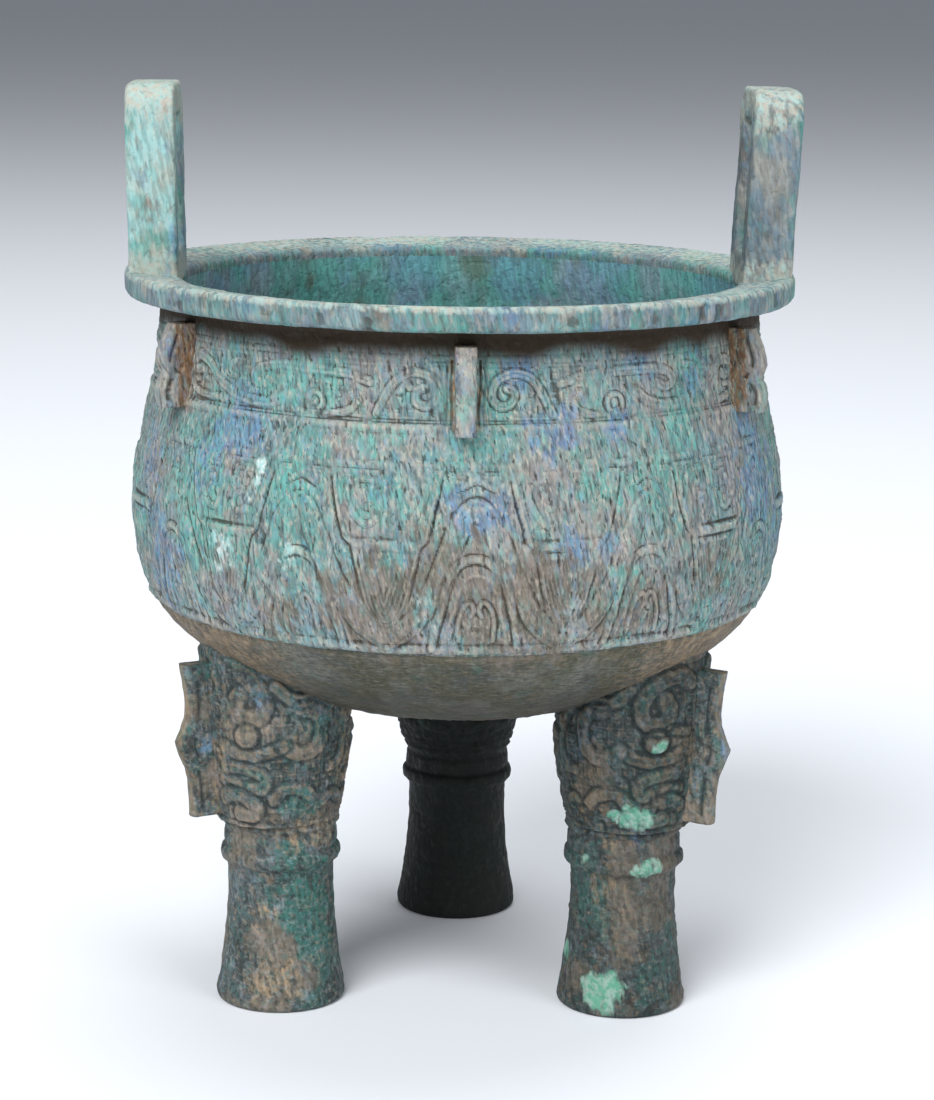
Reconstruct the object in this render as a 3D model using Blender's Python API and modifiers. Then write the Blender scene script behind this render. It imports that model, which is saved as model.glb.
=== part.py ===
"""Bronze ding: a round tripod vessel with two upright loop handles, cast in one piece.

Metres, +Z up. The origin is on the ground at the middle of the three feet, the front is
towards -Y and the handles stand at -X and +X. Azimuths are degrees from the front,
growing towards +X.
"""

import math
from collections import namedtuple

import bmesh
import bpy
from mathutils import Matrix, Vector

MM = 0.001

# The two sizes that set the vessel: how high the bowl stands, and how deep and wide it is
BOWL_BOTTOM = 76.5 * MM
BOWL_DEPTH = 109.2 * MM         # from its bottom to the underside of the rim
BELLY_RADIUS = 85.9 * MM
WALL = 4.0 * MM
BOWL_STEPS = 42
SPAN_SAMPLES = 2

# Form of the bowl, from the neck down: radius as a share of the belly's, height as a
# share of the depth
BOWL_FORM = [
    (0.913, 1.0),
    (0.930, 0.833),
    (0.963, 0.714),
    (1.0, 0.504),
    (0.948, 0.284),
    (0.778, 0.146),
    (0.466, 0.028),
    (0.0, 0.0),
]

# Rim and mouth
RIM_OVERHANG = 9.6 * MM         # beyond the neck
RIM_THICKNESS = 6.6 * MM
RIM_FALL = 2.1 * MM             # the top of the rim slopes down towards the mouth
RIM_ROUND = 1.0 * MM
NECK_WALL = 5.4 * MM
NECK_HEIGHT = 4.4 * MM          # length of the thicker wall below the rim

# Raised lines that bound the bands of ornament, as shares of the depth
FRIEZE_FOOT_SHARE = 0.784
FRIEZE_MIDDLE_SHARE = 0.833
BLADE_TOP_SHARE = 0.702
BLADE_FOOT_SHARE = 0.286
LINE_WIDTH = 1.8 * MM
LINE_RELIEF = 0.6 * MM

# The ornament and the handles sit a little round from the legs, as the mould left them
ORNAMENT_TURN = 2.0

# Hanging blades, with the ribbon that waves between them
BELLY_TURN = 4.1                # the blades stand this many degrees round, past the frieze
BLADE_COUNT = 12
BLADE_HALF_ANGLE = 8.8
BLADE_WAIST_HALF_ANGLE = 5.9
BLADE_WAIST_SHARE = 0.40        # from the upper line down to the tip
BLADE_TIP_SHARE = 0.84          # from the upper line down to the lower one
BLADE_RELIEF = 0.7 * MM
BLADE_ROOT = 2.0 * MM           # how deep a blade is let into the wall before it is joined
BLADE_GAP = 1.5 * MM            # from the upper line to the blade
RIBBON_PEAK_SHARE = 0.73        # from the lower line up to the upper one
RIBBON_TROUGH_SHARE = 0.07
RIBBON_RADIUS = 2.0 * MM
RIBBON_RELIEF = 0.8 * MM
RIBBON_WAVE_STEPS = 6

# Kui dragons of the frieze, in pairs that face each other across every second flange
KUI_EYE_OFFSET = 27.0           # degrees from the flange that a pair faces
KUI_EYE_RADIUS = 3.4 * MM
KUI_EYE_RELIEF = 1.2 * MM
KUI_EYE_GAP = 5.0               # degrees from the middle of an eye to its body
KUI_BODY_RADIUS = 1.6 * MM
KUI_BODY_RELIEF = 0.7 * MM
KUI_BODY_REACH = 16.0           # degrees from the snout to the far end of the tail
KUI_BODY_RISE = 5.0 * MM
KUI_BODY_LIFT = 4.0 * MM        # middle of the body above the middle of the frieze
KUI_BODY_STEPS = 9

# Flanges on the bowl
BOWL_FLANGE_COUNT = 6
BOWL_FLANGE_THICKNESS = 5.2 * MM
BOWL_FLANGE_GAP = 3.7 * MM      # from the underside of the rim to the flange
BOWL_FLANGE_DROP = 1.1 * MM     # its foot, below the line under the frieze
BOWL_FLANGE_DEPTH = 8.4 * MM
BOWL_FLANGE_NOTCH = 1.4 * MM

# Legs, on a circle whose radius is a share of the belly's
LEG_COUNT = 3
LEG_CIRCLE_SHARE = 0.61
LEG_STEPS = 20
FOOT_RADIUS = 17.2 * MM
FOOT_ROUND = 1.2 * MM
SHAFT_RADIUS = 13.8 * MM
SHAFT_WAIST_SHARE = 0.75        # from the ground up to the ring
RING_RADIUS = 15.5 * MM
RING_DROP = 10.3 * MM           # below the foot of the mask
RING_HEIGHT = 3.6 * MM
BAND_RADIUS = 14.6 * MM
BAND_GAP = 3.1 * MM             # from the foot of the mask to the band
COLLAR_RADIUS = 15.3 * MM
COLLAR_HEIGHT = 1.6 * MM

# Upper legs, which carry the masks; they swell outwards from the shaft's own axis.
# Drops and rises are from the bottom of the bowl
MASK_SHIFT = 1.2 * MM
MASK_FOOT_DROP = 25.9 * MM
MASK_FOOT_RADIUS = 16.2 * MM
MASK_CHEEK_DROP = 14.5 * MM
MASK_CHEEK_RADIUS = 18.4 * MM
MASK_BROW_RISE = 0.5 * MM
MASK_BROW_RADIUS = 19.9 * MM
LEG_TOP_RISE = 23.5 * MM

# Flanges on the legs
LEG_FLANGE_THICKNESS = 4.4 * MM
LEG_FLANGE_HEIGHT = 41.0 * MM
LEG_FLANGE_LIFT = 1.8 * MM      # its foot, above the foot of the mask
LEG_FLANGE_DEPTH = 6.6 * MM     # beyond the cheek of the mask
LEG_FLANGE_POINT_SHARE = 0.485  # height of the point halfway up
LEG_FLANGE_POINT_DEPTH = 3.6 * MM
LEG_FLANGE_FLARE = 2.4 * MM

# Masks on the legs: azimuths are from the leg's outward line
MASK_CORD_RADIUS = 2.2 * MM
MASK_CORD_RELIEF = 1.3 * MM
MASK_EYE_AZIMUTH = 40.0
MASK_EYE_DROP = 1.0 * MM
MASK_EYE_HALF_WIDTH = 3.9 * MM
MASK_EYE_HALF_HEIGHT = 3.1 * MM
MASK_EYE_RELIEF = 1.8 * MM
MASK_JAW_AZIMUTH = 34.0
MASK_JAW_RISE = 6.6 * MM        # above the foot of the mask
MASK_JAW_HALF_WIDTH = 5.2 * MM
MASK_JAW_HALF_HEIGHT = 3.8 * MM
MASK_JAW_RELIEF = 1.2 * MM

# Curls of a mask, drawn on ovals whose middles are placed from the eye
Curl = namedtuple("Curl", "azimuth rise reach half_height start end points")
HORN = Curl(-8.0, 10.0 * MM, 26.0, 5.0 * MM, 125.0, -150.0, 7)
CHEEK = Curl(0.0, -9.2 * MM, 17.0, 3.4 * MM, -60.0, 165.0, 5)
EAR = Curl(46.0, 0.0, 13.0, 5.0 * MM, 200.0, -80.0, 5)

# Handles
HANDLE_HEIGHT = 47.7 * MM       # above the rim
HANDLE_WIDTH = 34.0 * MM
HANDLE_THICKNESS = 12.6 * MM
HANDLE_BAR = 8.5 * MM
HANDLE_SILL = 5.0 * MM          # from the rim's top to the opening's lower edge
HANDLE_INSET = 2.1 * MM         # from the rim's edge to the handle's outer face
HANDLE_ROOT = 4.0 * MM          # how deep a handle is let into the rim before it is joined
HANDLE_CORNER = 8.0 * MM
HANDLE_GAP_CORNER = 3.0 * MM
CORNER_SEGMENTS = 3
HANDLE_BEVEL = 0.9 * MM
HANDLE_LEAN = 1.5

ROOT_DEPTH = 2.5 * MM           # how deep a flange is let into the bowl or leg it stands on
MERGE = 0.00001


def clear_scene():
    for existing in list(bpy.data.objects):
        bpy.data.objects.remove(existing, do_unlink=True)


def collection(name):
    made = bpy.data.collections.new(name)
    bpy.context.scene.collection.children.link(made)
    return made


clear_scene()
VESSEL = collection("bronze_ding")
TOOLS = collection("construction")


def add_object(name, data, home=None):
    """Link a new object; what is only a tool shows as wire and isn't rendered."""
    made = bpy.data.objects.new(name, data)
    (home or TOOLS).objects.link(made)
    if home is None:
        made.hide_render = True
        made.display_type = "WIRE"
    return made


def radial(azimuth):
    """Unit vector that points outwards at an azimuth in degrees."""
    angle = math.radians(azimuth)
    return Vector((math.sin(angle), -math.cos(angle), 0.0))


def turned(name, profile, steps, place=(0.0, 0.0), closed=False, home=None):
    """Revolve a profile of (radius, height) points that runs down its outer side."""
    mesh = bpy.data.meshes.new(name)
    points = [(radius, 0.0, height) for radius, height in profile]
    edges = [(index, index + 1) for index in range(len(points) - 1)]
    if closed:
        edges.append((len(points) - 1, 0))
    mesh.from_pydata(points, edges, [])
    made = add_object(name, mesh, home)
    made.location = (place[0], place[1], 0.0)
    screw = made.modifiers.new("Turn", "SCREW")
    screw.axis = "Z"
    screw.angle = math.tau
    screw.steps = steps
    screw.render_steps = steps
    screw.use_merge_vertices = True
    screw.merge_threshold = MERGE
    screw.use_smooth_shade = True
    return made


def mesh_from(curve_object):
    """Turn a curve object into a welded mesh object in the same place."""
    bpy.context.view_layer.update()
    graph = bpy.context.evaluated_depsgraph_get()
    mesh = bpy.data.meshes.new_from_object(curve_object.evaluated_get(graph))
    work = bmesh.new()
    work.from_mesh(mesh)
    bmesh.ops.remove_doubles(work, verts=work.verts, dist=MERGE)
    bmesh.ops.recalc_face_normals(work, faces=work.faces)
    work.to_mesh(mesh)
    work.free()
    made = add_object(curve_object.name + "_solid", mesh)
    made.matrix_world = curve_object.matrix_world.copy()
    curve = curve_object.data
    bpy.data.objects.remove(curve_object, do_unlink=True)
    bpy.data.curves.remove(curve)
    return made


def outline_solid(name, loops, thickness, stand):
    """Extrude flat (x, y) loops both ways by half the thickness; stand places the drawing."""
    curve = bpy.data.curves.new(name, "CURVE")
    curve.dimensions = "2D"
    curve.fill_mode = "BOTH"
    curve.extrude = thickness / 2
    for loop in loops:
        spline = curve.splines.new("POLY")
        spline.points.add(len(loop) - 1)
        for point, (x, y) in zip(spline.points, loop):
            point.co = (x, y, 0.0, 1.0)
        spline.use_cyclic_u = True
    made = add_object(name, curve)
    made.matrix_world = stand
    return mesh_from(made)


def cords(name, paths, radius, closed=False, resolution=0):
    """Round cords along paths of points, filled at their ends."""
    curve = bpy.data.curves.new(name, "CURVE")
    curve.dimensions = "3D"
    curve.bevel_depth = radius
    curve.bevel_resolution = resolution
    curve.use_fill_caps = not closed
    for path in paths:
        spline = curve.splines.new("POLY")
        spline.points.add(len(path) - 1)
        for point, place in zip(spline.points, path):
            point.co = (place.x, place.y, place.z, 1.0)
        spline.use_cyclic_u = closed
    return mesh_from(add_object(name, curve))


def domes(name, domes_at):
    """Ellipsoids, each given as centre, outward direction, half width, half height, depth."""
    work = bmesh.new()
    for centre, outward, half_width, half_height, depth in domes_at:
        sideways = Vector((0.0, 0.0, 1.0)).cross(outward).normalized()
        axes = Matrix((sideways * half_width, Vector((0.0, 0.0, half_height)), outward * depth))
        place = Matrix.Translation(centre) @ axes.transposed().to_4x4()
        bmesh.ops.create_uvsphere(work, u_segments=8, v_segments=4, radius=1.0, matrix=place)
    bmesh.ops.recalc_face_normals(work, faces=work.faces)
    mesh = bpy.data.meshes.new(name)
    work.to_mesh(mesh)
    work.free()
    return add_object(name, mesh)


def spread(made, count):
    """Repeat an object at even steps round the vessel's axis."""
    bpy.context.view_layer.update()
    marker = add_object(made.name + "_step", None)
    marker.matrix_world = Matrix.Rotation(math.tau / count, 4, "Z") @ made.matrix_world
    repeat = made.modifiers.new("Round the axis", "ARRAY")
    repeat.count = count
    repeat.use_relative_offset = False
    repeat.use_object_offset = True
    repeat.offset_object = marker
    return made


def bevelled(made, width):
    bevel = made.modifiers.new("Rounded edges", "BEVEL")
    bevel.width = width
    bevel.segments = 1
    bevel.limit_method = "ANGLE"
    bevel.angle_limit = math.radians(50.0)
    return made


def combine(target, tool, operation):
    step = target.modifiers.new(operation.title() + " " + tool.name, "BOOLEAN")
    step.operation = operation
    step.object = tool
    step.solver = "EXACT"
    return target


def smooth_curve(stations, samples):
    """Catmull-Rom points through the stations; the last one lies on the vessel's axis."""
    first = stations[0]
    second = stations[1]
    before_last = stations[-2]
    lead = (2 * first[0] - second[0], 2 * first[1] - second[1])
    mirrored = (-before_last[0], before_last[1])
    knots = [lead] + list(stations) + [mirrored]
    points = []
    for index in range(1, len(knots) - 2):
        p0, p1, p2, p3 = knots[index - 1:index + 3]
        for sample in range(samples):
            t = sample / samples
            points.append(tuple(
                0.5 * (2 * b + (c - a) * t + (2 * a - 5 * b + 4 * c - d) * t ** 2
                       + (3 * b - a - 3 * c + d) * t ** 3)
                for a, b, c, d in zip(p0, p1, p2, p3)
            ))
    points.append(tuple(stations[-1]))
    return points


RIM_UNDERSIDE = BOWL_BOTTOM + BOWL_DEPTH
RIM_TOP = RIM_UNDERSIDE + RIM_THICKNESS
NECK_RADIUS = BOWL_FORM[0][0] * BELLY_RADIUS
MOUTH_RADIUS = NECK_RADIUS - NECK_WALL
RIM_RADIUS = NECK_RADIUS + RIM_OVERHANG
LEG_CIRCLE = LEG_CIRCLE_SHARE * BELLY_RADIUS
FRIEZE_FOOT = BOWL_BOTTOM + FRIEZE_FOOT_SHARE * BOWL_DEPTH
FRIEZE_MIDDLE = BOWL_BOTTOM + FRIEZE_MIDDLE_SHARE * BOWL_DEPTH
BLADE_TOP = BOWL_BOTTOM + BLADE_TOP_SHARE * BOWL_DEPTH
BLADE_FOOT = BOWL_BOTTOM + BLADE_FOOT_SHARE * BOWL_DEPTH
BOWL_SIDE = smooth_curve(
    [(radius * BELLY_RADIUS, BOWL_BOTTOM + level * BOWL_DEPTH) for radius, level in BOWL_FORM],
    SPAN_SAMPLES,
)


def radius_on(side, level):
    """Radius of a profile that runs downwards, at a height."""
    for (upper_r, upper_z), (lower_r, lower_z) in zip(side, side[1:]):
        if lower_z <= level <= upper_z:
            share = (level - lower_z) / (upper_z - lower_z)
            return lower_r + share * (upper_r - lower_r)
    return side[0][0] if level > side[0][1] else side[-1][0]


def offset_inwards(side, distance):
    """Move each point of a profile towards the inside, square to the profile."""
    moved = []
    for index, (radius, level) in enumerate(side):
        before = side[max(index - 1, 0)]
        after = side[min(index + 1, len(side) - 1)]
        along = Vector((after[0] - before[0], after[1] - before[1])).normalized()
        if radius == 0.0:
            along = Vector((-1.0, 0.0))
        moved.append((max(radius + along.y * distance, 0.0), level - along.x * distance))
    return moved


def with_raised_line(side, level):
    """Lay a low ridge round a profile."""
    top = level + LINE_WIDTH / 2
    foot = level - LINE_WIDTH / 2
    above = [point for point in side if point[1] > top]
    below = [point for point in side if point[1] < foot]
    ridge = [
        (radius_on(side, top), top),
        (radius_on(side, level) + LINE_RELIEF, level),
        (radius_on(side, foot), foot),
    ]
    return above + ridge + below


def bowl_profile():
    """The whole wall: up the inside from the axis, over the rim and down the outside."""
    inside = offset_inwards(BOWL_SIDE, WALL)
    lip_level = RIM_TOP - RIM_FALL
    neck_foot = RIM_UNDERSIDE - NECK_HEIGHT
    inside = [point for point in inside if point[1] < neck_foot - NECK_WALL]
    upwards = list(reversed(inside))
    mouth = [(MOUTH_RADIUS, neck_foot), (MOUTH_RADIUS, lip_level - RIM_ROUND)]
    rim = [
        (MOUTH_RADIUS + RIM_ROUND, lip_level),
        (RIM_RADIUS - RIM_ROUND, RIM_TOP),
        (RIM_RADIUS, RIM_TOP - RIM_ROUND),
        (RIM_RADIUS, RIM_UNDERSIDE + RIM_ROUND),
        (RIM_RADIUS - RIM_ROUND, RIM_UNDERSIDE),
    ]
    outside = BOWL_SIDE
    for level in (FRIEZE_FOOT, BLADE_TOP, BLADE_FOOT):
        outside = with_raised_line(outside, level)
    return upwards + mouth + rim + outside


def bowl_point(azimuth, level, rise):
    """A point at a height above (or, when negative, below) the bowl's outer surface."""
    place = radial(azimuth) * (radius_on(BOWL_SIDE, level) + rise)
    place.z = level
    return place


def standing(azimuth):
    """Places a drawing upright: its x runs outwards, its y up, its thickness sideways."""
    outward = radial(azimuth)
    up = Vector((0.0, 0.0, 1.0))
    return Matrix((outward, up, outward.cross(up))).transposed().to_4x4()


def facing(azimuth, distance):
    """Places a drawing upright and facing outwards: its x runs sideways, its y up."""
    outward = radial(azimuth)
    up = Vector((0.0, 0.0, 1.0))
    turn = Matrix((up.cross(outward), up, outward)).transposed().to_4x4()
    return Matrix.Translation(outward * distance) @ turn


def blade_plates():
    """Tongues that hang from the upper line, cut out of a skin laid over the bowl."""
    top = BLADE_TOP - BLADE_GAP
    tip = BLADE_TOP - BLADE_TIP_SHARE * (BLADE_TOP - BLADE_FOOT)
    waist = BLADE_TOP - BLADE_WAIST_SHARE * (BLADE_TOP - BLADE_FOOT)
    half_width = BELLY_RADIUS * math.sin(math.radians(BLADE_HALF_ANGLE))
    waist_half_width = BELLY_RADIUS * math.sin(math.radians(BLADE_WAIST_HALF_ANGLE))
    reach = BELLY_RADIUS + BLADE_RELIEF
    drawing = [
        (-half_width, top),
        (-waist_half_width, waist),
        (0.0, tip),
        (waist_half_width, waist),
        (half_width, top),
    ]
    spacing = 360.0 / BLADE_COUNT
    stand = facing(BELLY_TURN + spacing / 2, reach)
    plates = outline_solid("blade_prisms", [drawing], reach / 2, stand)
    spread(plates, BLADE_COUNT)
    levels = [point[1] for point in BOWL_SIDE if BLADE_FOOT < point[1] < BLADE_TOP]
    levels = [BLADE_TOP] + levels + [BLADE_FOOT]
    face = [(radius_on(BOWL_SIDE, level) + BLADE_RELIEF, level) for level in levels]
    back = [(radius_on(BOWL_SIDE, level) - BLADE_ROOT, level) for level in reversed(levels)]
    skin = turned("blade_skin", face + back, BOWL_STEPS, closed=True)
    return combine(plates, skin, "INTERSECT")


def ribbon():
    """One cord that waves round the bowl, under each blade and over the ground between."""
    points = BLADE_COUNT * RIBBON_WAVE_STEPS
    band = BLADE_TOP - BLADE_FOOT
    middle = BLADE_FOOT + band * (RIBBON_PEAK_SHARE + RIBBON_TROUGH_SHARE) / 2
    swing = band * (RIBBON_PEAK_SHARE - RIBBON_TROUGH_SHARE) / 2
    path = []
    for index in range(points):
        azimuth = 360.0 * index / points
        level = middle + swing * math.cos(math.radians(azimuth * BLADE_COUNT))
        rise = RIBBON_RELIEF - RIBBON_RADIUS
        path.append(bowl_point(azimuth + BELLY_TURN, level, rise))
    return cords("ribbon", [path], RIBBON_RADIUS, closed=True)


def kui_dragons():
    """Eyes on both sides of a flange, and beyond each a body bent like a letter S."""
    paths = []
    eyes = []
    for side in (-1.0, 1.0):
        path = []
        for index in range(KUI_BODY_STEPS):
            share = index / (KUI_BODY_STEPS - 1)
            azimuth = side * (KUI_EYE_OFFSET + KUI_EYE_GAP + KUI_BODY_REACH * share)
            level = FRIEZE_MIDDLE + KUI_BODY_LIFT + KUI_BODY_RISE * math.sin(math.tau * share)
            sink = KUI_BODY_RELIEF - KUI_BODY_RADIUS
            path.append(bowl_point(ORNAMENT_TURN + azimuth, level, sink))
        paths.append(path)
        eye = ORNAMENT_TURN + side * KUI_EYE_OFFSET
        centre = bowl_point(eye, FRIEZE_MIDDLE, 0.0)
        eyes.append((centre, radial(eye), KUI_EYE_RADIUS, KUI_EYE_RADIUS, KUI_EYE_RELIEF))
    pairs = BOWL_FLANGE_COUNT // 2
    bodies = spread(cords("kui_bodies", paths, KUI_BODY_RADIUS), pairs)
    return bodies, spread(domes("kui_eyes", eyes), pairs)


def bowl_flanges():
    """Scalloped fins that stand out of the frieze: a hooked top, a notch, and a long foot."""
    top = RIM_UNDERSIDE - BOWL_FLANGE_GAP
    foot = FRIEZE_FOOT - BOWL_FLANGE_DROP
    root = radius_on(BOWL_SIDE, top) - ROOT_DEPTH
    edge = radius_on(BOWL_SIDE, FRIEZE_MIDDLE) + BOWL_FLANGE_DEPTH

    def at(share, recess):
        return (edge - recess, foot + share * (top - foot))

    drawing = [
        (root, foot),
        at(0.0, 0.6 * BOWL_FLANGE_NOTCH),
        at(0.12, 0.0),
        at(0.32, 0.0),
        at(0.44, BOWL_FLANGE_NOTCH),
        at(0.52, 0.4 * BOWL_FLANGE_NOTCH),
        at(0.66, 0.5 * BOWL_FLANGE_NOTCH),
        at(0.78, 1.5 * BOWL_FLANGE_NOTCH),
        at(1.0, 2.4 * BOWL_FLANGE_NOTCH),
        (root, top),
    ]
    fins = outline_solid("bowl_flanges", [drawing], BOWL_FLANGE_THICKNESS, standing(ORNAMENT_TURN))
    return spread(fins, BOWL_FLANGE_COUNT)


LEG_AZIMUTH = -60.0
LEG_AXIS = radial(LEG_AZIMUTH) * LEG_CIRCLE
MASK_AXIS = radial(LEG_AZIMUTH) * (LEG_CIRCLE + MASK_SHIFT)
MASK_FOOT = BOWL_BOTTOM - MASK_FOOT_DROP
MASK_CHEEK = BOWL_BOTTOM - MASK_CHEEK_DROP
MASK_EYE = BOWL_BOTTOM - MASK_EYE_DROP
LEG_TOP = BOWL_BOTTOM + LEG_TOP_RISE
MASK_SIDE = [
    (MASK_BROW_RADIUS, LEG_TOP),
    (MASK_BROW_RADIUS, BOWL_BOTTOM + MASK_BROW_RISE),
    (MASK_CHEEK_RADIUS, MASK_CHEEK),
    (MASK_FOOT_RADIUS, MASK_FOOT),
]


def leg_shafts():
    """Round shafts that flare to the feet, with a ring and a thin collar."""
    band_top = MASK_FOOT - BAND_GAP
    ring_level = MASK_FOOT - RING_DROP
    ring_top = ring_level + RING_HEIGHT / 2
    ring_foot = ring_level - RING_HEIGHT / 2
    waist = SHAFT_WAIST_SHARE * ring_level
    flare = FOOT_RADIUS - SHAFT_RADIUS
    profile = [
        (0.0, MASK_CHEEK),
        (BAND_RADIUS, MASK_CHEEK),
        (BAND_RADIUS, band_top + COLLAR_HEIGHT),
        (COLLAR_RADIUS, band_top + COLLAR_HEIGHT / 2),
        (BAND_RADIUS, band_top),
        (BAND_RADIUS, ring_top),
        (RING_RADIUS, ring_top - RING_HEIGHT / 4),
        (RING_RADIUS, ring_foot + RING_HEIGHT / 4),
        (SHAFT_RADIUS + 0.04 * flare, ring_foot),
        (SHAFT_RADIUS, waist),
        (SHAFT_RADIUS + 0.25 * flare, waist * 0.55),
        (SHAFT_RADIUS + 0.75 * flare, waist * 0.24),
        (FOOT_RADIUS, FOOT_ROUND),
        (FOOT_RADIUS - FOOT_ROUND, 0.0),
        (0.0, 0.0),
    ]
    return spread(turned("leg_shafts", profile, LEG_STEPS, LEG_AXIS), LEG_COUNT)


def upper_legs(inside_of_wall):
    """Swollen upper legs, cut off inside the bowl's wall."""
    profile = [(0.0, LEG_TOP)] + MASK_SIDE + [(0.0, MASK_FOOT)]
    uppers = spread(turned("upper_legs", profile, LEG_STEPS, MASK_AXIS), LEG_COUNT)
    return combine(uppers, inside_of_wall, "DIFFERENCE")


def leg_flanges(inside_of_wall):
    """Fins down the outside of the legs, with a point halfway and a flared top corner."""
    edge = LEG_CIRCLE + MASK_SHIFT + MASK_CHEEK_RADIUS + LEG_FLANGE_DEPTH
    root = LEG_CIRCLE + MASK_FOOT_RADIUS - ROOT_DEPTH
    foot = MASK_FOOT + LEG_FLANGE_LIFT
    top = foot + LEG_FLANGE_HEIGHT
    point = foot + LEG_FLANGE_POINT_SHARE * LEG_FLANGE_HEIGHT
    rise = top - point
    fall = point - foot
    swell = LEG_FLANGE_POINT_DEPTH
    drawing = [
        (root, foot),
        (edge, foot),
        (edge, point - 0.78 * fall),
        (edge + 0.10 * swell, point - 0.56 * fall),
        (edge + 0.34 * swell, point - 0.33 * fall),
        (edge + 0.72 * swell, point - 0.18 * fall),
        (edge + 1.05 * swell, point),
        (edge + 0.72 * swell, point + 0.16 * rise),
        (edge + 0.42 * swell, point + 0.30 * rise),
        (edge + 0.36 * swell, point + 0.46 * rise),
        (edge + 0.50 * swell, point + 0.76 * rise),
        (edge + LEG_FLANGE_FLARE, top),
        (root, top - 0.12 * rise),
    ]
    stand = standing(LEG_AZIMUTH)
    fins = outline_solid("leg_flanges", [drawing], LEG_FLANGE_THICKNESS, stand)
    spread(fins, LEG_COUNT)
    return combine(fins, inside_of_wall, "DIFFERENCE")


def mask_point(azimuth, level, rise):
    """A point on an upper leg, its azimuth measured from the leg's own outward line."""
    place = MASK_AXIS + radial(LEG_AZIMUTH + azimuth) * (radius_on(MASK_SIDE, level) + rise)
    place.z = level
    return place


def curl_points(curl):
    """Azimuths and heights along a curl of the mask, angles running from its far side."""
    path = []
    for index in range(curl.points):
        share = index / (curl.points - 1)
        angle = math.radians(curl.start + (curl.end - curl.start) * share)
        azimuth = MASK_EYE_AZIMUTH + curl.azimuth + curl.reach * math.cos(angle)
        path.append((azimuth, MASK_EYE + curl.rise + curl.half_height * math.sin(angle)))
    return path


def leg_masks():
    """Each mask: curled horns, eyes, hooked cheeks and jaw pads on both sides of the flange."""
    paths = []
    swells = []
    sink = MASK_CORD_RELIEF - MASK_CORD_RADIUS
    for side in (-1.0, 1.0):
        for curl in (HORN, CHEEK, EAR):
            points = curl_points(curl)
            paths.append([mask_point(side * azimuth, level, sink) for azimuth, level in points])
        eye = side * MASK_EYE_AZIMUTH
        jaw = side * MASK_JAW_AZIMUTH
        swells.append((
            mask_point(eye, MASK_EYE, 0.0), radial(LEG_AZIMUTH + eye),
            MASK_EYE_HALF_WIDTH, MASK_EYE_HALF_HEIGHT, MASK_EYE_RELIEF,
        ))
        swells.append((
            mask_point(jaw, MASK_FOOT + MASK_JAW_RISE, 0.0), radial(LEG_AZIMUTH + jaw),
            MASK_JAW_HALF_WIDTH, MASK_JAW_HALF_HEIGHT, MASK_JAW_RELIEF,
        ))
    cord_relief = spread(cords("mask_cords", paths, MASK_CORD_RADIUS), LEG_COUNT)
    swell_relief = spread(domes("mask_swells", swells), LEG_COUNT)
    return cord_relief, swell_relief


def rounded_arch(half_width, foot, top, corner):
    """An upright rectangle whose two upper corners are round."""
    loop = [(-half_width, foot), (half_width, foot)]
    for centre_x, start in ((half_width - corner, 0.0), (corner - half_width, 90.0)):
        for step in range(CORNER_SEGMENTS + 1):
            angle = math.radians(start + 90.0 * step / CORNER_SEGMENTS)
            x = centre_x + corner * math.cos(angle)
            loop.append((x, top - corner + corner * math.sin(angle)))
    return loop


def handles():
    """Upright loops on the rim, each leaning a little outwards."""
    middle = RIM_RADIUS - HANDLE_INSET - HANDLE_THICKNESS / 2
    outer = rounded_arch(HANDLE_WIDTH / 2, -HANDLE_ROOT, HANDLE_HEIGHT, HANDLE_CORNER)
    gap = HANDLE_WIDTH / 2 - HANDLE_BAR
    inner = rounded_arch(gap, HANDLE_SILL, HANDLE_HEIGHT - HANDLE_BAR, HANDLE_GAP_CORNER)
    azimuth = 90.0 + ORNAMENT_TURN
    lean = Matrix.Rotation(math.radians(HANDLE_LEAN), 4, "X")
    stand = Matrix.Translation((0.0, 0.0, RIM_TOP)) @ facing(azimuth, middle) @ lean
    loops = outline_solid("handles", [outer, inner], HANDLE_THICKNESS, stand)
    return bevelled(spread(loops, 2), HANDLE_BEVEL)


def bronze():
    """Old bronze under a green and blue crust."""
    material = bpy.data.materials.new("old_bronze")
    material.use_nodes = True
    surface = material.node_tree.nodes["Principled BSDF"]
    surface.inputs["Base Color"].default_value = (0.10, 0.16, 0.14, 1.0)
    surface.inputs["Metallic"].default_value = 0.15
    surface.inputs["Roughness"].default_value = 0.7
    material.diffuse_color = (0.10, 0.16, 0.14, 1.0)
    return material


def build_vessel():
    vessel = turned("ding_vessel", bowl_profile(), BOWL_STEPS, home=VESSEL)
    vessel.data.materials.append(bronze())
    wall_middle = offset_inwards(BOWL_SIDE, WALL / 2)
    inside_of_wall = turned("inside_of_wall", [(0.0, RIM_TOP)] + wall_middle, BOWL_STEPS)
    parts = [
        upper_legs(inside_of_wall),
        leg_shafts(),
        leg_flanges(inside_of_wall),
        *leg_masks(),
        bowl_flanges(),
        handles(),
        blade_plates(),
        ribbon(),
        *kui_dragons(),
    ]
    for part in parts:
        combine(vessel, part, "UNION")
    return vessel


build_vessel()
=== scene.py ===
"""Old bronze ding: three masked legs, a belly of hanging blades and two upright loop handles.

Every piece is a skin over the one casting. Lengths are in millimetres until a mesh is made,
azimuths in degrees from the front, growing towards +X.
"""

import math

import bpy
import numpy as np
from mathutils import Matrix, Vector


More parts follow.
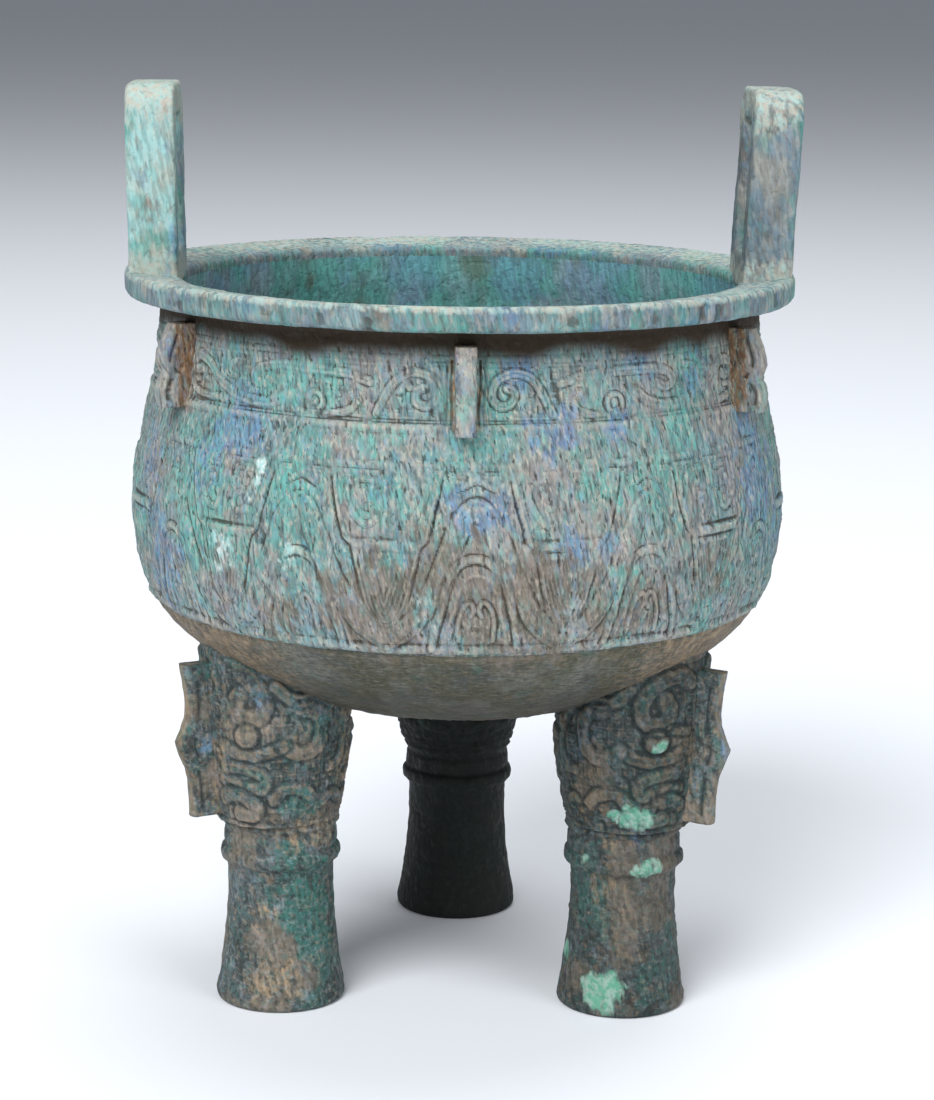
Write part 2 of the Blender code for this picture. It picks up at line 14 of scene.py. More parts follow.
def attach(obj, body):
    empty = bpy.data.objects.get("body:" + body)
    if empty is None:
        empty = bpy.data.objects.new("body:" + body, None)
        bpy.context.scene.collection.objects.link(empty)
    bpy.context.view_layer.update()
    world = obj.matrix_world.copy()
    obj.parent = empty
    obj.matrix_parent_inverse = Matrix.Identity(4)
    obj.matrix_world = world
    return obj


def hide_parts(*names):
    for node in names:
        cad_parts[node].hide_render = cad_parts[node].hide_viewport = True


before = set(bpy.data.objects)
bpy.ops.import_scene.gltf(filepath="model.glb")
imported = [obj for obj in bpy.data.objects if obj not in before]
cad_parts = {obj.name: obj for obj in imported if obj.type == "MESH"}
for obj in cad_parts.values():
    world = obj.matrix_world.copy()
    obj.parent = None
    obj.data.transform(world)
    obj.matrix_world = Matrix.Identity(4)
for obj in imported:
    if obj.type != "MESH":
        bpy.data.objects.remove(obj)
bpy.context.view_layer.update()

MM = 0.001

# The casting's own sizes
BOWL_BOTTOM = 76.5
BOWL_DEPTH = 109.2
BELLY_RADIUS = 85.9
WALL = 4.0
BOWL_FORM = [
    (0.913, 1.0),
    (0.930, 0.833),
    (0.963, 0.714),
    (1.0, 0.504),
    (0.948, 0.284),
    (0.778, 0.146),
    (0.466, 0.028),
    (0.0, 0.0),
]
RIM_UNDERSIDE = BOWL_BOTTOM + BOWL_DEPTH
RIM_TOP = RIM_UNDERSIDE + 6.6
RIM_FALL = 2.1
NECK_RADIUS = BOWL_FORM[0][0] * BELLY_RADIUS
MOUTH_RADIUS = NECK_RADIUS - 5.4
RIM_RADIUS = NECK_RADIUS + 9.38
ORNAMENT_TURN = 2.0
BELLY_TURN = 4.1

FRIEZE_FOOT = 162.1
BLADE_TOP = 153.2
BLADE_FOOT = 107.7
WALL_TOP = 183.6
WALL_FOOT = 106.4
WALL_SPAN = 120.0

LEG_AZIMUTHS = (-60.0, 60.0, 180.0)
LEG_CIRCLE = 52.4
MASK_SHIFT = 1.2
MASK_FOOT = 50.6

HANDLE_TOP = 239.7
HANDLE_WIDTH = 34.0
HANDLE_THICKNESS = 12.6
HANDLE_BAR = 8.5
HANDLE_SILL = 5.0
LEFT_LEAN = 1.0
RIGHT_LEAN = 2.4

# One cell of a carving sheet
CELL = 0.125

# Rows and columns of the meshes
WALL_FRONT_ROWS = 188
WALL_FRONT_COLUMNS = 496
WALL_BACK_ROWS = 145
WALL_BACK_COLUMNS = 350
RIM_ROWS = 64
RIM_COLUMNS = 480
INSIDE_ROWS = 80
INSIDE_COLUMNS = 300
UNDERSIDE_ROWS = 56
UNDERSIDE_COLUMNS = 340
MASK_ROWS = 112
MASK_COLUMNS = 264
SHAFT_ROWS = 106
SHAFT_COLUMNS = 132
HANDLE_ROWS = 190
HANDLE_SECTION_POINTS = 66
BOWL_FIN_ROWS = 52
LEG_FIN_ROWS = 70

# Streaks in the crust are long and narrow, and lean a little as they fall
STREAK_STRETCH = 0.2
STREAK_LEAN = 0.16
STREAK_LENGTHS = (2.0, 1.1, 1.6)


# Smooth random values

def shuffled(x, y, z, seed):
    """A repeatable value from -1 to 1 for each whole-number place."""
    mixed = (x * 374761393 + y * 668265263 + z * 1442695041 + seed * 974634777) & 0xFFFFFFFF
    mixed = ((mixed ^ (mixed >> 13)) * 1274126177) & 0xFFFFFFFF
    mixed = mixed ^ (mixed >> 16)
    return (mixed & 0xFFFF) / 32767.5 - 1.0


def lumps(points, size, seed):
    """Smooth values from -1 to 1 over points in space, with lumps of a size in millimetres."""
    scaled = points / size
    whole = np.floor(scaled).astype(np.int64)
    part = scaled - whole
    part = part * part * (3.0 - 2.0 * part)
    total = np.zeros(points.shape[:-1])
    for corner in range(8):
        steps = (corner & 1, (corner >> 1) & 1, corner >> 2)
        weight = np.ones(points.shape[:-1])
        for axis, step in enumerate(steps):
            share = part[..., axis]
            weight = weight * (share if step else 1.0 - share)
        x, y, z = (whole[..., axis] + step for axis, step in enumerate(steps))
        total += weight * shuffled(x, y, z, seed)
    return total


def softened(share):
    """Ease a share from 0 to 1."""
    held = np.clip(share, 0.0, 1.0)
    return held * held * (3.0 - 2.0 * held)


def along_streaks(points):
    """Points pressed together along the streaks, so that lumps drawn there come out long."""
    pressed = points * np.array([1.0, 1.0, STREAK_STRETCH])
    pressed[..., 0] += STREAK_LEAN * points[..., 2]
    return pressed


def corroded(points, strength=1.0):
    """Height of the lumpy crust over bare metal, with pits, at points in space."""
    height = 0.17 * lumps(points, 17.0, 11) + 0.12 * lumps(points, 6.5, 12)
    height += 0.13 * lumps(points, 2.7, 13) + 0.09 * lumps(points, 1.3, 14)
    height += 0.09 * lumps(along_streaks(points), 0.8, 18)
    warts = softened((lumps(points, 3.6, 15) - 0.55) / 0.35)
    pits = softened((lumps(points, 1.9, 16) - 0.56) / 0.3)
    where = softened(lumps(points, 24.0, 17) + 0.5)
    return strength * (height + 0.20 * warts * where - 0.22 * pits * where)


# Curves

def smooth_line(knots, samples, closed_at_axis=False):
    """Catmull-Rom points through knots of any dimension."""
    knots = [np.array(knot, dtype=float) for knot in knots]
    lead = 2 * knots[0] - knots[1]
    if closed_at_axis:
        tail = knots[-2] * np.array([-1.0, 1.0])
    else:
        tail = 2 * knots[-1] - knots[-2]
    chain = [lead] + knots + [tail]
    made = []
    for index in range(1, len(chain) - 2):
        a, b, c, d = chain[index - 1:index + 3]
        for sample in range(samples):
            t = sample / samples
            made.append(0.5 * (2 * b + (c - a) * t + (2 * a - 5 * b + 4 * c - d) * t ** 2
                               + (3 * b - a - 3 * c + d) * t ** 3))
    made.append(knots[-1])
    return np.array(made)


def evenly(line, count):
    """The same line with count points at even steps along it."""
    steps = np.linalg.norm(np.diff(line, axis=0), axis=1)
    along = np.concatenate(([0.0], np.cumsum(steps)))
    wanted = np.linspace(0.0, along[-1], count)
    return np.stack([np.interp(wanted, along, line[:, axis]) for axis in range(line.shape[1])], 1)


def outward_normals(line):
    """Unit normals of a profile that runs down an outer side."""
    run = np.gradient(line, axis=0)
    normals = np.stack([-run[:, 1], run[:, 0]], 1)
    return normals / np.linalg.norm(normals, axis=1)[:, None]


BOWL_LINE = smooth_line(
    [(radius * BELLY_RADIUS, BOWL_BOTTOM + level * BOWL_DEPTH) for radius, level in BOWL_FORM],
    24,
    closed_at_axis=True,
)


def bowl_radius(level):
    return np.interp(level, BOWL_LINE[::-1, 1], BOWL_LINE[::-1, 0])


def radial(azimuth):
    angle = np.radians(azimuth)
    return np.stack([np.sin(angle), -np.cos(angle)], -1)


def raised(places, outward, normals, height):
    """Places on a turned surface, each lifted along its normal by a height."""
    points = places.copy()
    points[..., :2] += outward * (height * normals[:, 0][:, None])[..., None]
    points[..., 2] += height * normals[:, 1][:, None]
    return points


# Carving sheets

def box_blur(field, reach, wrap):
    """Mean of a grid over a square of cells."""
    for axis in (0, 1):
        mode = "wrap" if axis == 1 and wrap else "edge"
        width = [(0, 0), (0, 0)]
        width[axis] = (reach + 1, reach)
        padded = np.pad(field, width, mode=mode)
        total = np.cumsum(padded, axis=axis)
        size = 2 * reach + 1
        if axis == 0:
            field = (total[size:] - total[:-size]) / size
        else:
            field = (total[:, size:] - total[:, :-size]) / size
    return field


class Carving:
    """A flat drawing in millimetres: raised forms, and grooves cut into them."""

    def __init__(self, left, right, foot, top):
        self.left = left
        self.foot = foot
        x = np.arange(left, right, CELL)
        y = np.arange(foot, top, CELL)
        self.x, self.y = np.meshgrid(x, y)
        self.raised = np.zeros(self.x.shape)
        self.cut = np.zeros(self.x.shape)
        self.taken = np.zeros(self.x.shape)
        self.hold = np.ones(self.x.shape)

    def distance(self, line, closed=False, reach=6.0):
        """Distance from each cell to a line of points, up to a reach."""
        line = np.array(line, dtype=float)
        if closed:
            line = np.vstack([line, line[:1]])
        nearest = np.full(self.x.shape, 99.0)
        for start, end in zip(line[:-1], line[1:]):
            low = np.minimum(start, end) - reach
            high = np.maximum(start, end) + reach
            left = max(int((low[0] - self.left) / CELL), 0)
            foot = max(int((low[1] - self.foot) / CELL), 0)
            right = max(int((high[0] - self.left) / CELL) + 1, 0)
            top = max(int((high[1] - self.foot) / CELL) + 1, 0)
            window = (slice(foot, top), slice(left, right))
            x = self.x[window] - start[0]
            y = self.y[window] - start[1]
            run = end - start
            length = max(float(run @ run), 1e-9)
            share = np.clip((x * run[0] + y * run[1]) / length, 0.0, 1.0)
            gap = np.hypot(x - share * run[0], y - share * run[1])
            nearest[window] = np.minimum(nearest[window], gap)
        return nearest

    def depth_inside(self, outline):
        """Distance from the outline, positive inside it."""
        outline = np.array(outline, dtype=float)
        gap = self.distance(outline, closed=True, reach=9.0)
        inside = np.zeros(self.x.shape, dtype=bool)
        for start, end in zip(outline, np.roll(outline, -1, axis=0)):
            crosses = (start[1] > self.y) != (end[1] > self.y)
            rise = end[1] - start[1] or 1e-9
            where = start[0] + (self.y - start[1]) * (end[0] - start[0]) / rise
            inside ^= crosses & (self.x < where)
        return np.where(inside, gap, -gap)

    def ridge(self, line, half_width, height, soft=0.35, closed=False):
        """A raised line with a flat top and sloping sides."""
        shape = softened((half_width - self.distance(line, closed)) / soft + 0.5)
        self.raised = np.maximum(self.raised, height * shape)
        self.taken = np.maximum(self.taken, shape)

    def cord(self, line, half_width, height, closed=False):
        """A raised line with a round back."""
        gap = self.distance(line, closed) / half_width
        shape = np.sqrt(np.clip(1.0 - gap * gap, 0.0, 1.0))
        self.raised = np.maximum(self.raised, height * shape)
        self.taken = np.maximum(self.taken, softened(1.6 - gap))

    def groove(self, line, half_width, depth, soft=0.3, closed=False, offset=0.0, where=1.0):
        """A cut along a line, or along both of its sides at an offset."""
        gap = np.abs(self.distance(line, closed) - offset)
        shape = softened((half_width - gap) / soft + 0.5)
        self.cut = np.maximum(self.cut, depth * where * shape)

    def patch(self, outline, height, soft=0.5):
        """A raised plate; returns how deep each cell lies inside it."""
        depth = self.depth_inside(outline)
        shape = softened(depth / soft + 0.5)
        self.raised = np.maximum(self.raised, height * shape)
        return depth

    def inset(self, depth, insets, half_width, cut, where=1.0):
        """Grooves that follow an outline, each at its own depth inside it."""
        for step in insets:
            shape = softened((half_width - np.abs(depth - step)) / 0.3 + 0.5)
            self.cut = np.maximum(self.cut, cut * where * shape)

    def button(self, centre, radius, height):
        gap = np.hypot(self.x - centre[0], self.y - centre[1]) / radius
        shape = np.sqrt(np.clip(1.0 - gap * gap, 0.0, 1.0))
        self.raised = np.maximum(self.raised, height * shape)
        self.taken = np.maximum(self.taken, softened(1.8 - gap))

    def keep_dirt_in_steep_grooves(self, least):
        """Dirt is rubbed out of the grooves that lie level, down to a least share."""
        climb, run = np.gradient(self.cut)
        level_part = box_blur(climb * climb, 6, False)
        steep_part = box_blur(run * run, 6, False)
        steep = steep_part / (level_part + steep_part + 1e-6)
        self.hold = least + (1.0 - least) * softened((steep - 0.55) / 0.3)

    def read(self, x, y):
        """Height and groove depth of the drawing at places on the sheet."""
        column = np.clip((x - self.left) / CELL, 0.0, self.x.shape[1] - 1.001)
        row = np.clip((y - self.foot) / CELL, 0.0, self.x.shape[0] - 1.001)
        i = column.astype(int)
        j = row.astype(int)
        u = column - i
        v = row - j
        heights = self.raised - self.cut
        found = []
        for sheet in (heights, self.cut * self.hold):
            low = sheet[j, i] * (1 - u) + sheet[j, i + 1] * u
            high = sheet[j + 1, i] * (1 - u) + sheet[j + 1, i + 1] * u
            found.append(low * (1 - v) + high * v)
        return found


def square_spiral(centre, size, turns, flip, upside):
    """A thunder-pattern spiral: straight runs that close in on their middle."""
    x, y = -size, -size
    points = [(x, y)]
    reach = 2 * size
    pitch = 2 * size / (2 * turns)
    directions = [(1, 0), (0, 1), (-1, 0), (0, -1)]
    for leg in range(4 * turns - 1):
        if leg >= 3 and leg % 2 == 1:
            reach -= pitch
        if reach <= pitch * 0.4:
            break
        dx, dy = directions[leg % 4]
        x += dx * reach
        y += dy * reach
        points.append((x, y))
    made = []
    for x, y in points:
        made.append((centre[0] + (-x if flip else x), centre[1] + (-y if upside else y)))
    return made


def fill_with_spirals(sheet, left, right, foot, top, pitch, clear, depth=0.42, half_width=0.28):
    """Thunder-pattern ground wherever no raised form stands within a clear distance."""
    columns = int((right - left) / pitch)
    rows = max(int((top - foot) / pitch), 1)
    number = 0
    for row in range(rows):
        for column in range(columns):
            number += 1
            x = left + (column + 0.5) * (right - left) / columns
            y = foot + (row + 0.5) * (top - foot) / rows
            i = int((x - sheet.left) / CELL)
            j = int((y - sheet.foot) / CELL)
            reach = int(clear / CELL)
            around = sheet.taken[max(j - reach, 0):j + reach, max(i - reach, 0):i + reach]
            if around.size and around.max() > 0.4:
                continue
            reach = pitch / 2 - 0.4
            line = square_spiral((x, y), reach, 2, (number + row) % 2 == 0, row % 2 == 1)
            sheet.groove(line, half_width, depth)


def mirrored(points):
    """The points of a line, then its mirror image about x = 0, as one line."""
    return [(-x, y) for x, y in reversed(points)] + [(x, y) for x, y in points if x > 0]


# The frieze: half of a pair of dragons, from the flange that they face

FRIEZE_SCALE = 80.0 * math.pi / 180.0
FRIEZE_SPAN = 60.0


def in_frieze(points):
    return [(azimuth * FRIEZE_SCALE, level) for azimuth, level in points]


def ring(centre, radius, count=24):
    angles = np.linspace(0.0, math.tau, count, endpoint=False)
    return [(centre[0] + radius * math.cos(a), centre[1] + radius * math.sin(a)) for a in angles]


def draw_frieze():
    """One dragon with a curled snout, a ringed eye, a horn and an S-shaped body."""
    sheet = Carving(-2.0, FRIEZE_SPAN * FRIEZE_SCALE + 2.0, 160.0, 184.5)
    eye = (27.0 * FRIEZE_SCALE, 167.2)
    sheet.ridge(ring(eye, 2.1), 0.5, 0.6, closed=True)
    sheet.button(eye, 1.1, 0.8)
    sheet.groove(ring(eye, 3.1), 0.26, 0.45, closed=True)

    snout = smooth_line(in_frieze([
        (15.5, 165.4), (13.6, 170.4), (11.2, 174.2), (8.0, 175.2), (5.2, 173.2), (4.7, 169.6),
        (6.2, 167.4), (8.2, 168.2), (8.4, 170.6), (7.2, 171.6),
    ]), 6)
    brow = smooth_line(in_frieze([
        (16.8, 172.6), (21.0, 174.2), (27.0, 174.8), (34.0, 175.0), (38.6, 173.8), (40.2, 171.2),
        (38.4, 169.9), (36.8, 171.0),
    ]), 6)
    body = smooth_line(in_frieze([
        (31.6, 169.6), (34.4, 166.8), (39.0, 165.6), (44.6, 166.8), (49.2, 169.8), (52.4, 173.2),
        (55.4, 174.6), (57.2, 172.6), (56.2, 170.6), (54.6, 171.2),
    ]), 6)
    claw = smooth_line(in_frieze([
        (19.0, 168.0), (20.6, 165.6), (25.0, 164.3), (29.8, 164.5), (31.4, 166.1),
    ]), 6)
    fin = smooth_line(in_frieze([
        (43.0, 175.0), (46.0, 174.2), (46.6, 171.8), (44.8, 171.0),
    ]), 6)
    foot = smooth_line(in_frieze([
        (48.0, 165.2), (52.6, 165.0), (57.0, 166.2), (57.4, 168.2), (55.4, 168.6),
    ]), 6)
    for line, half_width in ((snout, 0.85), (brow, 0.9), (body, 1.05), (claw, 0.7),
                             (fin, 0.65), (foot, 0.65)):
        sheet.ridge(line, half_width, 0.36, soft=0.5)
        sheet.groove(line, 0.2, 0.24)
        sheet.groove(line, 0.24, 0.34, offset=half_width + 0.4)

    span = FRIEZE_SPAN * FRIEZE_SCALE
    for level, half_width, depth in ((179.4, 0.24, 0.3), (177.6, 0.24, 0.36), (176.6, 0.2, 0.3),
                                     (164.0, 0.24, 0.45), (163.2, 0.2, 0.35)):
        sheet.groove([(3.0, level), (span - 3.0, level)], half_width, depth)
    for side in (0.0, span):
        inward = 1.0 if side == 0.0 else -1.0
        for gap, depth in ((3.4, 0.8), (4.5, 0.5)):
            x = side + inward * gap
            sheet.groove([(x, 162.8), (x, 178.0)], 0.28, depth)
    fill_with_spirals(sheet, 5.4, span - 5.4, 164.6, 176.4, 2.95, 0.7, depth=0.34, half_width=0.2)
    return sheet


# The belly: half of a blade and half of the arch beside it, from the blade's middle

BELLY_SCALE = 84.5 * math.pi / 180.0
BELLY_SPAN = 15.0
BLADE_OUTLINE = [
    (9.5, 152.0), (8.9, 147.5), (7.9, 141.0), (6.8, 135.4), (5.5, 133.6), (4.9, 129.5),
    (4.3, 125.0), (3.3, 119.2), (2.2, 115.4), (1.1, 114.0), (0.0, 113.6),
]


def on_belly(points):
    """From the blade's middle."""
    return [(azimuth * BELLY_SCALE, level) for azimuth, level in points]


def by_arch(points):
    """From the middle of the arch between two blades."""
    return [((BELLY_SPAN - azimuth) * BELLY_SCALE, level) for azimuth, level in points]


def draw_belly():
    """A hanging blade in two cells, and beside it the waving ribbon over a round arch."""
    sheet = Carving(-2.5, BELLY_SPAN * BELLY_SCALE + 2.5, 104.5, 155.0)

    wave = smooth_line(by_arch([
        (-3.4, 136.0), (-1.9, 141.0), (0.0, 143.2), (1.9, 141.0), (3.4, 136.0), (4.9, 130.2),
        (6.5, 124.6), (8.3, 119.6), (10.4, 115.0), (12.8, 111.9), (15.0, 110.8), (17.2, 111.9),
    ]), 8)
    sheet.cord(wave, 2.7, 1.0)
    sheet.groove(wave, 0.2, 0.2, offset=1.35)
    high = 0.2 + 0.8 * softened((sheet.y - 122.0) / 4.0) * softened((139.5 - sheet.y) / 3.0)
    sheet.groove(wave, 0.26, 0.45, offset=2.95, where=high)

    inner_gable = smooth_line(by_arch([
        (-1.7, 134.5), (0.0, 139.2), (1.7, 134.5), (3.2, 128.8), (4.7, 123.4), (6.6, 117.2),
        (8.2, 111.0), (8.7, 108.4),
    ]), 8)
    sheet.ridge(inner_gable, 0.6, 0.4, soft=0.7)
    arch = smooth_line(by_arch([
        (-2.4, 130.2), (0.0, 131.4), (2.4, 130.2), (4.0, 127.4), (4.9, 124.0), (5.9, 118.0),
        (6.9, 112.0), (7.3, 108.4),
    ]), 8)
    sheet.ridge(arch, 0.8, 0.6, soft=0.7)
    sheet.groove(arch, 0.24, 0.36, offset=1.3)
    under = smooth_line(by_arch([
        (-1.6, 126.4), (0.0, 127.4), (1.6, 126.4), (2.8, 123.4), (3.6, 119.0), (4.8, 112.6),
        (5.2, 108.6),
    ]), 8)
    sheet.ridge(under, 0.5, 0.4, soft=0.6)
    scroll = smooth_line(by_arch([
        (2.9, 110.4), (2.9, 115.0), (2.2, 119.0), (1.0, 120.6), (0.3, 118.6), (0.9, 116.8),
    ]), 6)
    sheet.ridge(scroll, 0.45, 0.35)
    sheet.groove(scroll, 0.22, 0.34, offset=0.8)
    sheet.button(by_arch([(0.0, 123.6)])[0], 1.0, 0.5)
    sheet.ridge(by_arch([(1.2, 110.2), (1.2, 114.4), (-1.2, 114.4)]), 0.35, 0.3)

    half = on_belly(BLADE_OUTLINE)
    outline = mirrored(list(reversed(half)))
    blade = sheet.patch(outline, 0.5)
    sheet.taken = np.maximum(sheet.taken, softened(blade + 1.0))
    inside = softened(blade)
    flank = softened((sheet.y - 118.0) / 6.0) * softened((150.5 - sheet.y) / 1.0)
    sheet.inset(blade, (-0.5,), 0.3, 0.85, flank)
    sheet.inset(blade, (0.95, 1.9), 0.2, 0.26)
    lower = softened((131.5 - sheet.y) / 1.0)
    sheet.inset(blade, (0.95, 1.95, 2.95, 3.95, 4.95), 0.24, 0.4, lower)

    bar = on_belly([(-6.2, 134.0), (6.2, 134.0)])
    across = softened((0.9 - np.abs(sheet.y - 134.0)) / 0.4 + 0.5) * inside
    sheet.raised = np.maximum(sheet.raised, 1.15 * across)
    for lift, half_width, depth in ((-1.5, 0.2, 0.3), (1.7, 0.5, 0.5)):
        line = [(x, y + lift) for x, y in bar]
        sheet.groove(line, half_width, depth)

    hook = smooth_line(on_belly([
        (1.4, 149.4), (4.2, 149.9), (6.4, 148.4), (6.4, 144.8), (5.0, 141.0), (3.2, 138.9),
        (1.7, 140.2), (2.0, 142.8), (3.4, 143.4),
    ]), 6)
    sheet.ridge(hook, 0.6, 0.62, soft=0.45)
    sheet.groove(hook, 0.22, 0.36, offset=1.0)
    sheet.button(on_belly([(3.9, 146.4)])[0], 1.1, 0.85)
    sheet.groove(ring(on_belly([(3.9, 146.4)])[0], 1.45), 0.22, 0.36, closed=True)
    sheet.ridge([(0.0, 137.8), (0.0, 149.8)], 0.4, 0.7)
    sheet.groove([(0.0, 137.4), (0.0, 150.4)], 0.2, 0.32, offset=0.85)
    for level in (150.9, 149.2, 147.4, 145.2, 143.4, 141.6, 139.6):
        sheet.groove(on_belly([(0.7, level), (1.6, level)]), 0.2, 0.32)
    for level in (141.0, 138.4):
        sheet.groove(on_belly([(4.4, level), (5.8, level)]), 0.2, 0.32)

    for side in (1.0, -1.0):
        small = smooth_line([(side * x, y) for x, y in on_belly([
            (0.6, 131.0), (2.4, 131.2), (3.4, 130.0), (3.1, 128.2), (2.1, 127.6), (1.4, 128.8),
        ])], 5)
        sheet.ridge(small, 0.45, 0.75)
    sheet.ridge(on_belly([(0.0, 131.6), (0.0, 121.6)]), 0.35, 0.7)

    wedge = smooth_line(by_arch([
        (1.2, 151.2), (4.0, 151.0), (5.4, 149.2), (5.7, 146.0), (4.9, 142.6),
    ]), 5)
    sheet.ridge(wedge, 0.65, 0.4)
    sheet.groove(wedge, 0.2, 0.32)
    sheet.ridge(by_arch([(-2.2, 148.2), (0.0, 150.6), (2.2, 148.2)]), 0.5, 0.36)
    sheet.groove(by_arch([(-3.0, 147.0), (0.0, 148.9), (3.0, 147.0)]), 0.2, 0.32)
    for gap in (9.1, 10.5, 11.8):
        run = by_arch([(gap * 0.84, 124.8 + gap * 0.4), (gap, 118.8), (gap + 1.2, 116.0)])
        sheet.groove(run, 0.22, 0.3)
    sheet.groove([(-2.5, 109.4), (25.0, 109.4)], 0.22, 0.26)
    sheet.keep_dirt_in_steep_grooves(0.12)
    under_bar = softened(2.4 - np.abs(sheet.y - 132.4)) * inside
    sheet.hold = np.maximum(sheet.hold, 0.7 * under_bar)
    return sheet


# The masks on the legs: half of one, from the leg's outward line

MASK_SCALE = 19.5 * math.pi / 180.0


def on_mask(points):
    return [(azimuth * MASK_SCALE, level) for azimuth, level in points]


def draw_mask():
    """A broad curled horn over a round eye, a hooked cheek, an ear and a rounded jaw."""
    sheet = Carving(-1.0, 180.0 * MASK_SCALE + 1.0, 48.0, 101.0)
    strokes = [
        (2.3, 0.95, [(14.0, 91.0), (24.0, 93.0), (38.0, 92.0), (50.0, 88.4), (55.0, 84.0),
                     (49.0, 80.9), (38.0, 80.6), (31.0, 83.4), (36.0, 86.6)]),
        (1.6, 0.85, [(20.0, 72.4), (32.0, 70.9), (46.0, 70.5), (60.0, 71.6), (70.0, 73.6)]),
        (1.2, 0.7, [(14.0, 78.0), (22.0, 78.4), (30.0, 79.0)]),
        (1.5, 0.85, [(20.0, 66.4), (34.0, 67.0), (48.0, 66.2), (57.0, 63.6), (52.0, 61.2),
                     (43.0, 61.8)]),
        (1.1, 0.75, [(15.0, 62.4), (26.0, 63.2), (35.0, 62.6)]),
        (1.9, 0.8, [(16.0, 58.0), (26.0, 59.6), (38.0, 58.8), (48.0, 56.0), (42.0, 54.0),
                    (30.0, 54.2)]),
        (1.9, 0.8, [(70.0, 73.0), (82.0, 71.0), (95.0, 72.6), (101.0, 77.6), (96.0, 82.4),
                    (84.0, 83.4)]),
        (1.6, 0.7, [(64.0, 89.6), (74.0, 86.4), (86.0, 85.6), (98.0, 87.8), (106.0, 91.6)]),
        (1.6, 0.55, [(62.0, 58.6), (74.0, 61.4), (88.0, 60.6), (98.0, 57.6)]),
        (1.4, 0.6, [(112.0, 84.0), (122.0, 80.0), (126.0, 73.4), (120.0, 67.4), (110.0, 66.4)]),
        (1.4, 0.6, [(134.0, 62.0), (146.0, 64.4), (152.0, 70.0), (146.0, 75.4), (138.0, 74.0)]),
        (1.4, 0.6, [(104.0, 56.0), (118.0, 58.6), (134.0, 56.4), (150.0, 57.6), (170.0, 56.0)]),
    ]
    for half_width, height, knots in strokes:
        line = smooth_line(on_mask(knots), 6)
        sheet.ridge(line, half_width, 0.75 * height, soft=1.5)
        sheet.groove(line, 0.45, 0.4, soft=0.6, offset=half_width + 0.5)
    eye = on_mask([(41.0, 75.8)])[0]
    sheet.button(eye, 3.4, 1.7)
    sheet.groove(ring(eye, 3.8), 0.5, 0.6, soft=0.6, closed=True)
    fill_with_spirals(sheet, 3.0, 61.0, 52.0, 96.0, 3.3, 0.5, depth=0.36, half_width=0.22)
    for level in (51.9, 95.6):
        sheet.groove([(-1.0, level), (63.0, level)], 0.3, 0.4)
    return sheet


FRIEZE = draw_frieze()
BELLY = draw_belly()
MASK = draw_mask()


# Meshes

def piece_from(name, points, faces, values=None):
    """Make a smooth mesh from points in millimetres and faces of four corners."""
    used = np.unique(faces)
    order = np.zeros(len(points), dtype=np.int64)
    order[used] = np.arange(len(used))
    faces = order[faces]
    points = points[used]
    mesh = bpy.data.meshes.new(name)
    mesh.vertices.add(len(points))
    mesh.vertices.foreach_set("co", (points * MM).astype(np.float32).ravel())
    mesh.loops.add(faces.size)
    mesh.loops.foreach_set("vertex_index", faces.astype(np.int32).ravel())
    mesh.polygons.add(len(faces))
    mesh.polygons.foreach_set("loop_start", np.arange(0, faces.size, 4, dtype=np.int32))
    mesh.polygons.foreach_set("loop_total", np.full(len(faces), 4, dtype=np.int32))
    mesh.update(calc_edges=True)
    mesh.validate()
    mesh.polygons.foreach_set("use_smooth", np.ones(len(mesh.polygons), dtype=bool))
    for key, value in (values or {}).items():
        layer = mesh.attributes.new(key, "FLOAT", "POINT")
        layer.data.foreach_set("value", value.ravel()[used].astype(np.float32))
    made = bpy.data.objects.new(name, mesh)
    bpy.context.scene.collection.objects.link(made)
    return made


def grid_faces(rows, columns, round_and_round):
    """Corners of the faces of a grid whose rows run down and whose columns run to the right."""
    across = columns if round_and_round else columns - 1
    row, column = np.meshgrid(np.arange(rows - 1), np.arange(across), indexing="ij")
    following = (column + 1) % columns
    corners = [
        row * columns + column,
        (row + 1) * columns + column,
        (row + 1) * columns + following,
        row * columns + following,
    ]
    return np.stack([corner.ravel() for corner in corners], 1)


def proudness(height, reach, wrap=False):
    """From -1 in a groove to 1 on an edge that stands proud of what is round it."""
    return np.clip((height - box_blur(height, reach, wrap)) / 0.3, -1.0, 1.0)


# Stains, each at an azimuth and a height on the bowl: azimuth, height, radius, strength

BLUE_STAINS = [
    (-40.0, 158.0, 10.0, 0.9), (-47.0, 150.0, 9.0, 0.5), (4.5, 143.0, 8.5, 0.95),
    (18.5, 161.0, 9.0, 0.8), (19.7, 133.0, 5.5, 1.0), (26.0, 132.6, 3.5, 0.8),
    (64.0, 146.0, 14.0, 0.9), (63.0, 158.0, 9.0, 0.6), (-60.0, 122.0, 14.0, 0.75),
    (-68.0, 142.0, 12.0, 0.6), (11.0, 176.0, 5.0, 0.9), (34.5, 176.5, 5.0, 0.9),
    (28.0, 163.0, 6.0, 0.6), (47.0, 172.0, 7.0, 0.5), (-10.0, 150.0, 7.0, 0.3),
    (75.0, 128.0, 12.0, 0.5), (110.0, 150.0, 16.0, 0.6), (150.0, 135.0, 18.0, 0.6),
    (-120.0, 160.0, 14.0, 0.6), (-150.0, 128.0, 15.0, 0.5), (178.0, 165.0, 10.0, 0.6),
]
